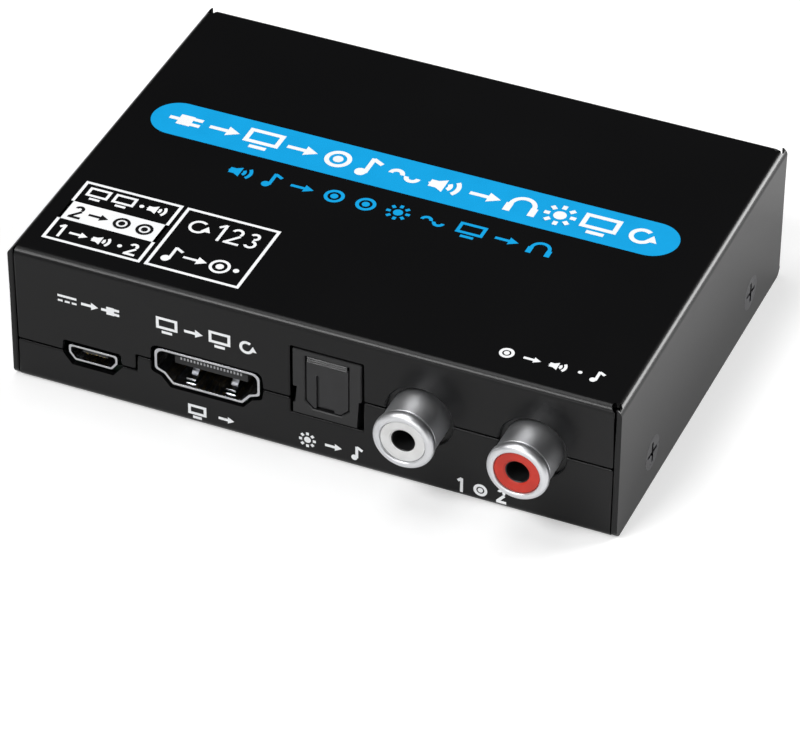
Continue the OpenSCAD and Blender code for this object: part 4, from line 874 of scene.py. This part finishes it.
@dataclass
class VideoSocket:
    """A stamped shell with a tongue, its contacts and the comb of tips on the tongue's nose.

    Attributes:
        prefix: Start of the socket's node names.
        inwards: 1 where the socket's depth runs towards +Y and -1 towards -Y.
        edge: Width of the shell's broken edges, in mm.
        tips: Number of contact tips on the nose.
        pitch: Distance between two tips.
        tip_w: Width of a tip.
        tip_l: Length of a tip on the top of the nose.
        tip_h: Length of a tip down the front of the nose.
        tip_t: Thickness of a tip.
        tip_edge: Width of its broken edges.
        tab_x: Distance of each sprung tab from the middle.
        tab_w: Width of a tab.
        tab_t: Thickness of a tab.
        tab_round: Rounding of a tab's corners, as a share of its width.
        tab_edge: Width of its broken edges.
        floor_t: Thickness of the shell's floor.
        tab_path: Depth and height of the tab's bends, from the mouth and from the floor.
    """

    prefix: str
    inwards: float
    edge: float = 0.09
    tips: int = 19
    pitch: float = 0.5
    tip_w: float = 0.26
    tip_l: float = 0.5
    tip_h: float = 0.45
    tip_t: float = 0.06
    tip_edge: float = 0.02
    tab_x: float = 3.0
    tab_w: float = 1.0
    tab_t: float = 0.14
    tab_round: float = 0.4
    tab_edge: float = 0.03
    floor_t: float = 0.35
    tab_path: tuple[tuple[float, float], ...] = ((1.8, 0.1), (2.4, 0.35), (2.9, 0.8),
                                                 (3.1, 1.3))

    def build(self, bench: Bench) -> None:
        """Dresses the shell and the tongue and adds the comb."""
        bench.dress(f"{self.prefix}_shell", Slot.SOCKET_NICKEL, self.edge)
        bench.dress(f"{self.prefix}_insulator", Slot.SOCKET_PLASTIC, self.edge)
        bench.keep(Slot.CONTACT_GOLD, f"{self.prefix}_contacts")
        self.comb(bench)
        self.tabs(bench)

    def tabs(self, bench: Bench) -> None:
        """Bends the two sprung tabs that rise from the shell's floor and grip the plug."""
        low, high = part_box(f"{self.prefix}_shell")
        mouth = low.y if self.inwards > 0 else high.y
        floor = min(vertex.co.z
                    for vertex in bench.frame["nodes"][f"{self.prefix}_shell"].data.vertices
                    if abs(vertex.co.y - mouth) < mm(NEAR))
        for side, word in ((-1.0, "left"), (1.0, "right")):
            item = self.tab(f"{self.prefix}_tab_{word}")
            item.location = ((low.x + high.x) / 2 + side * mm(self.tab_x), mouth,
                             floor + mm(self.floor_t))
            settle(item)
            bench.add(item, "case", Slot.SPRING_STEEL)

    def tab(self, name: str) -> bpy.types.Object:
        """Bends one tab along its path, with round corners at its free end."""
        start, bend, *rest = self.tab_path
        select_none()
        bpy.ops.mesh.primitive_plane_add(size=mm(self.tab_w))
        item = named(name)
        with editing(item):
            shape = bmesh.from_edit_mesh(item.data)
            for vertex in shape.verts:
                depth, height = bend if vertex.co.y * self.inwards > 0 else start
                vertex.co.y = self.inwards * mm(depth)
                vertex.co.z = mm(height)
            for edge in shape.edges:
                edge.select_set(all(abs(v.co.z - mm(bend[1])) < mm(LEVEL) for v in edge.verts))
            bmesh.update_edit_mesh(item.data)
            depth, height = bend
            for next_depth, next_height in rest:
                bpy.ops.mesh.extrude_edges_move(TRANSFORM_OT_translate={"value": (
                    0.0, self.inwards * mm(next_depth - depth), mm(next_height - height))})
                depth, height = next_depth, next_height
            bpy.ops.mesh.bevel(offset=mm(self.tab_w * self.tab_round), segments=4,
                               affect="VERTICES")
        apply_modifier(item, "SOLIDIFY", thickness=mm(self.tab_t), offset=0.0)
        break_edges(item, self.tab_edge)
        return item

    def comb(self, bench: Bench) -> None:
        """Repeats the contact tip along the nose of the tongue."""
        low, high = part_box(f"{self.prefix}_insulator")
        nose = low.y if self.inwards > 0 else high.y
        item = self.tip()
        pieces = [item]
        for _ in range(self.tips - 1):
            select_only(item)
            bpy.ops.object.duplicate(linked=False)
            pieces.append(bpy.context.view_layer.objects.active)
        first = (low.x + high.x) / 2 - mm(self.pitch) * (self.tips - 1) / 2
        height = self.nose_top(bench) - mm(self.tip_h / 2 - self.tip_t)
        for number, piece in enumerate(pieces):
            piece.location = (first + mm(self.pitch) * number,
                              nose - self.inwards * mm(self.tip_t / 2), height)
        select_only(*pieces[1:], item)
        bpy.ops.object.join()
        settle(item)
        bench.add(item, bench.body_of(f"{self.prefix}_shell"), Slot.LEAD_TIN)

    def tip(self) -> bpy.types.Object:
        """Models one contact tip as an angle over the nose's edge."""
        ledge = self.tip_h / 2 - self.tip_t
        select_none()
        bpy.ops.mesh.primitive_cube_add(size=1.0, location=(0.0, 0.0, 0.0))
        item = named(f"{self.prefix}_tips")
        item.scale = (mm(self.tip_w), mm(self.tip_t), mm(self.tip_h))
        settle(item)
        with editing(item):
            shape = bmesh.from_edit_mesh(item.data)
            for edge in shape.edges:
                edge.select_set(edge.calc_length() > mm(self.tip_h - NEAR))
            bmesh.update_edit_mesh(item.data)
            bpy.ops.mesh.subdivide(number_cuts=1)
            shape = bmesh.from_edit_mesh(item.data)
            for vertex in shape.verts:
                if abs(vertex.co.z) < mm(LEVEL):
                    vertex.co.z = mm(ledge)
            for face in shape.faces:
                inner = face.normal.y * self.inwards > FACING
                face.select_set(inner and face.calc_center_median().z > mm(ledge))
            bmesh.update_edit_mesh(item.data)
            bpy.ops.mesh.extrude_region_move(
                TRANSFORM_OT_translate={"value": (0.0, self.inwards * mm(self.tip_l), 0.0)})
        break_edges(item, self.tip_edge, 1)
        return item

    def nose_top(self, bench: Bench) -> float:
        """Height of the tongue's upper face, read from the nose of the CAD tongue."""
        mesh = bench.frame["nodes"][f"{self.prefix}_insulator"].data
        front = min(self.inwards * vertex.co.y for vertex in mesh.vertices)
        return max(vertex.co.z for vertex in mesh.vertices
                   if self.inwards * vertex.co.y < front + mm(NEAR))


@dataclass
class PowerInlet:
    """The small power socket: a thin steel shell round a tongue.

    Attributes:
        edge: Width of the broken edges, in mm.
    """

    edge: float = 0.08

    def build(self, bench: Bench) -> None:
        """Dresses the shell and the tongue."""
        bench.dress("power_inlet_shell", Slot.SOCKET_NICKEL, self.edge)
        bench.dress("power_inlet_tongue", Slot.SOCKET_PLASTIC, self.edge)
        bench.keep(Slot.CONTACT_GOLD, "power_inlet_contacts")


@dataclass
class OpticalOutlet:
    """The square optical outlet with its sprung flap.

    Attributes:
        housing_edge: Width of the chamfers on the housing, in mm.
        least: Length of the shortest edge that gets one.
        flap_edge: Width of the flap's broken edges.
        ridge_heights: Heights of the fine ridges along the flap's top.
        ridge_l: Length of a ridge.
        ridge_w: Side of its square section.
        ridge_edge: Width of its broken edges.
    """

    housing_edge: float = 0.14
    least: float = 1.0
    flap_edge: float = 0.08
    ridge_heights: tuple[float, ...] = (16.62, 16.3, 15.98)
    ridge_l: float = 5.9
    ridge_w: float = 0.26
    ridge_edge: float = 0.039

    def build(self, bench: Bench) -> None:
        """Dresses the housing and the flap."""
        bench.dress_sheet("optical_housing", Slot.SOCKET_PLASTIC, self.housing_edge, self.least)
        bench.dress("optical_shutter", Slot.SHUTTER_PLASTIC, self.flap_edge)
        self.ridges(bench)
        bench.keep(Slot.SPRING_STEEL, "optical_shutter_spring")
        bench.keep(Slot.CHIP_RESIN, "optical_transmitter")

    def ridges(self, bench: Bench) -> None:
        """Adds the fine ridges along the flap's top, each a bar sunk in by half its section."""
        low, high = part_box("optical_shutter")
        for number, height in enumerate(self.ridge_heights, 1):
            select_none()
            bpy.ops.mesh.primitive_cube_add(
                size=1.0, location=((low.x + high.x) / 2, low.y, mm(height)),
                rotation=(math.pi / 4, 0.0, 0.0))
            item = named(f"flap_ridge_{number}")
            item.scale = (mm(self.ridge_l), mm(self.ridge_w), mm(self.ridge_w))
            settle(item)
            break_edges(item, self.ridge_edge)
            bench.add(item, "shutter", Slot.SHUTTER_PLASTIC)


@dataclass
class PhonoSocket:
    """One phono socket: a turned, plated barrel round a coloured insert.

    Attributes:
        side: "left" or "right".
        insert: The insert's slot and finish.
        lip_r: Radius of the rounded lip, in mm.
        body_r: Radius of the barrel behind the lip.
        bore_r: Radius of the barrel's bore, where the insert sits.
        lip_l: Length of the lip.
        lip_round: Radius of the lip's outer edge.
        inner_round: Radius of the lip's inner edge.
        groove: Length and depth of the groove behind the lip.
        shoulder: Rounding where the barrel starts again behind the groove.
        insert_r: Radius of the insert.
        insert_set: How far the insert's rim lies behind the lip.
        dish: How far its face dips towards the hole.
        hole_r: Radius of the plug hole.
        funnel: Radius and depth of the rounding round the hole.
        small_round: Rounding of the insert's rim.
        funnel_round: Rounding between its face and the funnel.
        shade_sleeve_wall: Wall of the black tube inside the hole, which is painted shade.
        shade_sleeve_gap: Gap round the tube.
        shade_sleeve_end: How far the tube stops short of the barrel's end.
    """

    side: str
    insert: Slot
    lip_r: float = 4.45
    body_r: float = 4.2
    bore_r: float = 3.3
    lip_l: float = 1.2
    lip_round: float = 0.75
    inner_round: float = 0.3
    groove: tuple[float, float] = (0.45, 0.3)
    shoulder: float = 0.1
    insert_r: float = 3.25
    insert_set: float = 0.25
    dish: float = 0.12
    hole_r: float = 1.75
    funnel: tuple[float, float] = (1.9, 0.12)
    small_round: float = 0.12
    funnel_round: float = 0.1
    shade_sleeve_wall: float = 0.12
    shade_sleeve_gap: float = 0.01
    shade_sleeve_end: float = 0.5

    def build(self, bench: Bench) -> None:
        """Turns the barrel and the insert and finishes the contact."""
        name = f"phono_{self.side}"
        low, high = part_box(f"phono_{self.side}_barrel")
        mouth = Vector(((low.x + high.x) / 2, low.y, (low.z + high.z) / 2))
        length = (high.y - low.y) / mm(1.0)
        barrel = turned(f"{name}_barrel_turned", self.barrel(length), mouth, 1.0)
        bench.replace(barrel, f"{name}_barrel", Slot.BARREL_CHROME)
        core = turned(f"{name}_insert_moulded", self.core(length), mouth, 1.0)
        bench.replace(core, f"{name}_insert", self.insert)
        # The black tube in the plug hole is painted shade: a dark piece that darkens the bore.
        painted_shade_sleeve = turned(f"{name}_sleeve", self.painted_shade_sleeve(length), mouth, 1.0, 48)
        bench.add(painted_shade_sleeve, "case", Slot.SOCKET_PLASTIC)
        bench.keep(Slot.CONTACT_GOLD, f"{name}_contact")

    def painted_shade_sleeve(self, length: float) -> list[tuple[float, float]]:
        """Profile of the black tube behind the insert's face: painted shade in the plug hole."""
        outer, start = self.hole_r - self.shade_sleeve_gap, self.insert_set + self.dish + self.funnel[1]
        inner, end = outer - self.shade_sleeve_wall, length - self.shade_sleeve_end
        return [(outer, start), (outer, end), (inner, end), (inner, start + self.shade_sleeve_wall)]

    def barrel(self, length: float) -> list[tuple[float, float]]:
        """Profile of the barrel from its bore round the lip and down to its end.

        Args:
            length: The barrel's length, in mm.

        Returns:
            The closed profile, as radius and depth.
        """
        groove_l, groove_d = self.groove
        floor = self.body_r - groove_d
        body = self.lip_l + groove_l
        inner = arc((self.bore_r + self.inner_round, self.inner_round), self.inner_round,
                    180.0, 270.0, 6)
        outer = arc((self.lip_r - self.lip_round, self.lip_round), self.lip_round,
                    -90.0, 0.0, 12)
        back = arc((self.lip_r - self.shoulder, self.lip_l - self.shoulder), self.shoulder,
                   0.0, 90.0, 3)
        restart = arc((self.body_r - self.shoulder, body + self.shoulder), self.shoulder,
                      -90.0, 0.0, 3)
        return [*inner, *outer, *back, (floor, self.lip_l), (floor, body), *restart,
                (self.body_r, length), (self.bore_r, length)]

    def core(self, length: float) -> list[tuple[float, float]]:
        """Profile of the insert, its face dished towards the funnel.

        Args:
            length: The barrel's length, in mm, at which the insert ends too.

        Returns:
            The closed profile, as radius and depth.
        """
        funnel_r, funnel_l = self.funnel
        face = self.insert_set + self.dish
        rim = arc((self.insert_r - self.small_round, self.insert_set + self.small_round),
                  self.small_round, 0.0, -90.0, 4)
        edge = arc((funnel_r + self.funnel_round, face + self.funnel_round),
                   self.funnel_round, -90.0, -150.0, 3)
        return [(self.insert_r, length), *rim, *edge,
                (self.hole_r, face + funnel_l), (self.hole_r, length)]


@dataclass
class HeadphoneSocket:
    """The 3.5 mm socket: a moulded body with a ring round its mouth.

    Attributes:
        ring_r: Radius of the ring, in mm.
        spigot_r: Radius of the part that enters the body.
        bore_r: Radius of the mouth.
        ring_l: Length of the ring.
        length: Length of the whole bushing.
        edge: Rounding of the ring and of the mouth.
        body_edge: Width of the body's broken edges.
    """

    ring_r: float = 2.5
    spigot_r: float = 2.15
    bore_r: float = 1.8
    ring_l: float = 1.0
    length: float = 2.4
    edge: float = 0.2
    body_edge: float = 0.1

    def build(self, bench: Bench) -> None:
        """Turns the bushing and dresses the body."""
        low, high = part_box("audio_jack_bushing")
        mouth = Vector(((low.x + high.x) / 2, high.y, (low.z + high.z) / 2))
        mouth_edge = arc((self.bore_r + self.edge, self.edge), self.edge, 180.0, 270.0, 5)
        rim = arc((self.ring_r - self.edge, self.edge), self.edge, -90.0, 0.0, 6)
        profile = [*mouth_edge, *rim, (self.ring_r, self.ring_l), (self.spigot_r, self.ring_l),
                   (self.spigot_r, self.length), (self.bore_r, self.length)]
        item = turned("headphone_bushing_moulded", profile, mouth, -1.0)
        bench.replace(item, "audio_jack_bushing", Slot.SOCKET_PLASTIC)
        bench.dress("audio_jack_body", Slot.SOCKET_PLASTIC, self.body_edge)
        bench.keep(Slot.CONTACT_GOLD, "audio_jack_contacts")


@dataclass
class SlideSwitch:
    """A slide switch: folded frame, moulded slider and the parts behind them.

    Attributes:
        prefix: Start of the switch's node names.
        lever_edge: Width of the lever's broken edges, in mm.
        frame_edge: The same on the folded frame.
    """

    prefix: str
    lever_edge: float = 0.16
    frame_edge: float = 0.07

    def build(self, bench: Bench) -> None:
        """Dresses the lever and the frame and finishes the rest."""
        bench.dress(f"{self.prefix}_switch_slider", Slot.LEVER_PLASTIC, self.lever_edge, 3)
        bench.dress(f"{self.prefix}_switch_frame", Slot.SWITCH_STEEL, self.frame_edge)
        bench.keep(Slot.BASE_LAMINATE, f"{self.prefix}_switch_base")
        bench.keep(Slot.CONTACT_GOLD, f"{self.prefix}_switch_contact")
        bench.keep(Slot.LEAD_TIN, f"{self.prefix}_switch_pins")


@dataclass
class Electronics:
    """The board and what is soldered to it, all of it inside the case."""

    def build(self, bench: Bench) -> None:
        """Gives each inner piece its finish."""
        bench.keep(Slot.BOARD_LAMINATE, "circuit_board")
        bench.keep(Slot.SOCKET_PLASTIC, "phono_housing", "lamp_holders",
                   "filter_capacitor_bases", "pin_header")
        bench.keep(Slot.LAMP_RESIN, "lamp_lenses")
        bench.keep(Slot.CHIP_RESIN, "video_processor", "audio_converter", "microcontroller",
                   "voltage_regulators")
        bench.keep(Slot.LEAD_TIN, "audio_converter_leads", "microcontroller_leads", "crystals")
        bench.keep(Slot.SINK_ALUMINIUM, "heat_sink")
        bench.keep(Slot.CAN_ALUMINIUM, "filter_capacitor_cans")
        bench.keep(Slot.FERRITE, "power_inductor")
        bench.keep(Slot.PART_CERAMIC, "ceramic_parts")


@dataclass(frozen=True)
class Sheet:
    """One film of ink on one face of the case.

    Attributes:
        name: The film's name.
        face: The face that it is laid on.
        ink: Its ink.
        pen: Width of its lines, in mm.
        rows: Its rows of marks.
        fills: Left, right, lower and upper edge of each filled bar, from the face's corner.
        frames: The same for each ruled frame.
        lift: Height over the paint, where it lies on another film.
    """

    name: str
    face: Face
    ink: Ink
    pen: float
    rows: tuple[Row, ...]
    fills: tuple[tuple[float, float, float, float], ...] = ()
    frames: tuple[tuple[float, float, float, float], ...] = ()
    lift: float = 0.0


@dataclass
class Print:
    """The marks on the lid and beside the sockets.

    Attributes:
        corners: Left lower corner of each printed face, as seen by its reader, in mm.
        rule: Width of a frame's line.
        band: Left, right, front and rear edge of the blue band, from the lid's left front corner.
        band_sides: Sides of the circle that rounds its ends.
        sheets: The films over and beside the band.
    """

    corners: tuple[tuple[Face, tuple[float, float, float]], ...] = (
        (Face.TOP, (-45.0, -32.5, 22.0)), (Face.FRONT, (-45.0, -32.5, 0.0)),
        (Face.REAR, (45.0, 32.5, 0.0)))
    rule: float = 0.45
    band: tuple[float, float, float, float] = (4.4, 84.0, 33.2, 41.0)
    band_sides: int = 48
    sheets: tuple[Sheet, ...] = (
        Sheet("lid_band_marks", Face.TOP, Ink.WHITE_INK, 0.68, (
            Row("PLUG ARROW SCREEN ARROW SOCKET NOTE WAVE SPEAKER ARROW HEADPHONES RAYS SCREEN "
                "LOOP", 7.0, 81.4, 37.1, 4.7),), lift=0.03),
        Sheet("lid_second_row", Face.TOP, Ink.BLUE_INK, 0.5, (
            Row("SPEAKER NOTE ARROW SOCKET SOCKET RAYS WAVE SCREEN ARROW HEADPHONES", 20.2,
                68.7, 28.8, 3.5),)),
        Sheet("lid_panels", Face.TOP, Ink.WHITE_INK, 0.42, (
            Row("SCREEN SCREEN DOT SPEAKER", 4.4, 16.9, 15.925, 2.9),
            Row("ONE ARROW SPEAKER DOT TWO", 4.4, 16.9, 6.425, 2.8),
            Row("LOOP ONE TWO THREE", 20.15, 31.5, 14.7, 3.8),
            Row("NOTE ARROW SOCKET DOT", 20.15, 31.5, 7.6, 3.6),
            Row("SOCKET ARROW SPEAKER DOT NOTE", 70.3, 85.4, 5.5, 2.5)),
              fills=((3.2, 18.1, 9.0375, 13.3125),),
              frames=((3.2, 18.1, 4.05, 18.3), (18.75, 32.9, 4.05, 18.25))),
        Sheet("lid_panel_marks", Face.TOP, Ink.BLACK_INK, 0.44, (
            Row("TWO ARROW SOCKET SOCKET", 4.4, 16.9, 11.175, 3.0),), lift=0.03),
        Sheet("front_marks", Face.FRONT, Ink.WHITE_INK, 0.42, (
            Row("DIRECT ARROW PLUG", 7.5, 17.1, 15.7, 2.6),
            Row("SCREEN ARROW SCREEN LOOP", 22.4, 37.6, 15.8, 2.8),
            Row("SCREEN ARROW", 26.9, 33.9, 2.3, 2.4),
            Row("RAYS ARROW NOTE", 43.6, 53.2, 2.7, 2.5),
            Row("ONE SOCKET TWO", 66.9, 74.2, 2.2, 2.4))),
        Sheet("rear_marks", Face.REAR, Ink.WHITE_INK, 0.42, (
            Row("LOOP ONE TWO", 24.3, 31.7, 15.4, 2.6),
            Row("SCREEN ARROW_BACK SCREEN PLUG", 38.5, 56.1, 15.5, 2.8),
            Row("ONE DOT TWO DOT THREE NOTE", 62.8, 76.6, 15.3, 2.6),
            Row("HEADPHONES", 15.6, 18.2, 15.4, 2.6))),
    )

    def build(self, bench: Bench) -> None:
        """Prints the band and then every sheet."""
        self.blue_band(bench)
        for sheet in self.sheets:
            stencil = Stencil(sheet.name, pen=sheet.pen)
            with stencil.drawing():
                for edges in sheet.fills:
                    self.bar(stencil, edges)
                for edges in sheet.frames:
                    self.bar(stencil, edges)
                    stencil.hollow(self.rule)
                for row in sheet.rows:
                    stencil.row(row)
            self.lay(bench, stencil, sheet.face, sheet.ink, sheet.lift)

    def bar(self, stencil: Stencil, edges: tuple[float, float, float, float]) -> None:
        """Draws a filled bar between its left, right, lower and upper edge."""
        left, right, lower, upper = edges
        stencil.slab((left + right) / 2, (lower + upper) / 2, right - left, upper - lower)

    def lay(self, bench: Bench, stencil: Stencil, face: Face, ink: Ink, lift: float) -> None:
        """Lays a drawn sheet on its face, on the case's body.

        Args:
            bench: The loaded frame.
            stencil: The drawn sheet.
            face: The face that it is laid on.
            ink: Its ink.
            lift: Its height over the paint, in mm.
        """
        corner = point(*dict(self.corners)[face]) + point(0.0, 0.0, lift)
        bench.add(stencil.lay(face, corner), "case", ink, Slot.CASE_PAINT)

    def blue_band(self, bench: Bench) -> None:
        """Prints the long band with round ends."""
        left, right, front, rear = self.band
        radius, middle = (rear - front) / 2, (front + rear) / 2
        band = Stencil("lid_band", sides=self.band_sides)
        with band.drawing():
            self.bar(band, (left + radius, right - radius, front, rear))
            band.part_ring(left + radius, middle, radius, 0.0, (90.0, 270.0))
            band.part_ring(right - radius, middle, radius, 0.0, (-90.0, 90.0))
            bpy.ops.mesh.select_all(action="SELECT")
            bpy.ops.mesh.remove_doubles(threshold=mm(LEVEL))
        self.lay(bench, band, Face.TOP, Ink.BLUE_INK, 0.0)


@dataclass(frozen=True)
class Softbox:
    """A rectangular lamp that points at the middle of the object.

    Attributes:
        name: The lamp's name.
        way: Direction from the object to the lamp.
        distance: Distance from the object, in metres.
        size: Width and height, in metres.
        power: Power in watts.
    """

    name: str
    way: tuple[float, float, float]
    distance: float
    size: tuple[float, float]
    power: float

    def build(self) -> None:
        """Sets the lamp up."""
        data = bpy.data.lights.new(self.name, "AREA")
        data.shape = "RECTANGLE"
        data.size, data.size_y = self.size
        data.energy = self.power
        lamp = bpy.data.objects.new(self.name, data)
        bpy.context.scene.collection.objects.link(lamp)
        way = Vector(self.way).normalized()
        lamp.location = way * self.distance
        lamp.rotation_euler = way.to_track_quat("Z", "Y").to_euler()


@dataclass
class Studio:
    """A white floor, four soft lamps, a dim surround and the camera of the photograph.

    Attributes:
        azimuth: Turn of the camera round the object, in degrees.
        elevation: Height of the camera above the floor's plane, in degrees.
        roll: Turn of the picture.
        distance: Distance from the object's origin, in mm.
        aside: How far the camera stands to the right, in mm.
        above: How far it stands upwards in the picture.
        focal: Focal length, in pixels of the photograph.
        sensor: Width of the camera's sensor, in mm.
        clip: Nearest and farthest distance that is drawn, in metres.
        floor_size: Side of the floor, in metres.
        floor_colour: The floor's sRGB colour.
        floor_roughness: Its roughness.
        surround: Strength of the light from all round.
        floor_glow: What the floor adds where it is seen, so that it reads as white.
        mirror_glow: What it adds where it is mirrored.
        lamps: The softboxes.
    """

    azimuth: float = 22.95
    elevation: float = 38.01
    roll: float = 0.41
    distance: float = 655.9
    aside: float = -0.34
    above: float = -7.29
    focal: float = 4633.0
    sensor: float = 36.0
    clip: tuple[float, float] = (0.05, 20.0)
    floor_size: float = 6.0
    floor_colour: str = "#e6e6e6"
    floor_roughness: float = 0.9
    surround: float = 0.03
    floor_glow: float = 0.35
    mirror_glow: float = 0.05
    lamps: tuple[Softbox, ...] = (
        Softbox("front_lamp", (-0.31, -0.56, 0.77), 1.0, (0.5, 0.26), 6.0),
        Softbox("right_lamp", (0.62, 0.73, 0.31), 1.0, (0.6, 0.4), 12.5),
        Softbox("fill_lamp", (0.1, -0.95, 0.3), 1.2, (0.9, 0.3), 3.5),
        Softbox("top_lamp", (-0.2, 0.05, 0.98), 1.0, (0.6, 0.36), 2.8),
    )

    def build(self) -> None:
        """Sets up the floor, the surround, the lamps and the camera."""
        self.floor()
        self.world()
        for lamp in self.lamps:
            lamp.build()
        self.camera()
        bpy.context.scene.view_settings.view_transform = "Standard"

    def floor(self) -> None:
        """Lays the white floor, which shows the object's shadow."""
        select_none()
        bpy.ops.mesh.primitive_plane_add(size=self.floor_size, location=(0.0, 0.0, 0.0))
        item = named("floor")
        material = bpy.data.materials.new("white_floor")
        material.use_nodes = True
        tree = material.node_tree
        tree.nodes.clear()
        path = add_node(tree, "LightPath")
        mirrored = add_node(tree, "Math", {0: path.outputs["Is Glossy Ray"],
                                           1: path.outputs["Is Transmission Ray"]},
                            operation="MAXIMUM")
        dim = add_node(tree, "Math", {0: mirrored.outputs["Value"], 1: self.mirror_glow},
                       operation="MULTIPLY")
        glow = add_node(tree, "Math", {0: path.outputs["Is Camera Ray"], 1: self.floor_glow,
                                       2: dim.outputs["Value"]}, operation="MULTIPLY_ADD")
        shader = add_node(tree, "BsdfPrincipled",
                          {"Base Color": linear(self.floor_colour),
                           "Roughness": self.floor_roughness,
                           "Emission Color": linear("#ffffff"),
                           "Emission Strength": glow.outputs["Value"]})
        add_node(tree, "OutputMaterial", {"Surface": shader.outputs["BSDF"]})
        item.data.materials.append(material)

    def world(self) -> None:
        """Lights the scene evenly and dimly from all round."""
        world = bpy.data.worlds.new("surround")
        world.use_nodes = True
        tree = world.node_tree
        tree.nodes.clear()
        light = add_node(tree, "Background",
                         {"Color": linear("#ffffff"), "Strength": self.surround})
        add_node(tree, "OutputWorld", {"Surface": light.outputs["Background"]})
        bpy.context.scene.world = world

    def camera(self) -> None:
        """Sets the camera where the photograph's was."""
        turn, rise, roll = (math.radians(a) for a in (self.azimuth, self.elevation, self.roll))
        back = Vector((math.sin(turn) * math.cos(rise), -math.cos(turn) * math.cos(rise),
                       math.sin(rise)))
        right = Vector((math.cos(turn), math.sin(turn), 0.0))
        up = back.cross(right)
        right, up = (math.cos(roll) * right + math.sin(roll) * up,
                     math.cos(roll) * up - math.sin(roll) * right)
        data = bpy.data.cameras.new("camera")
        data.sensor_width = self.sensor
        data.lens = self.focal / PICTURE_W * self.sensor
        data.clip_start, data.clip_end = self.clip
        camera = bpy.data.objects.new("camera", data)
        bpy.context.scene.collection.objects.link(camera)
        place = back * mm(self.distance) + right * mm(self.aside) + up * mm(self.above)
        axes = Matrix((right, up, back)).transposed().to_4x4()
        camera.matrix_world = Matrix.Translation(place) @ axes
        bpy.context.scene.camera = camera


def main() -> None:
    """Loads the frame, builds each sub-assembly and sets up the studio."""
    logging.basicConfig(level=logging.INFO, format="%(message)s")
    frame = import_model()
    bench = Bench(frame)
    for part in (Case(), VideoSocket("video_out", 1.0), VideoSocket("video_in", -1.0),
                 PowerInlet(), OpticalOutlet(), PhonoSocket("left", Slot.INSERT_WHITE),
                 PhonoSocket("right", Slot.INSERT_RED), HeadphoneSocket(),
                 SlideSwitch("two_way"), SlideSwitch("three_way"), Electronics(), Print()):
        part.build(bench)
    Studio().build()


if __name__ == "__main__":
    main()
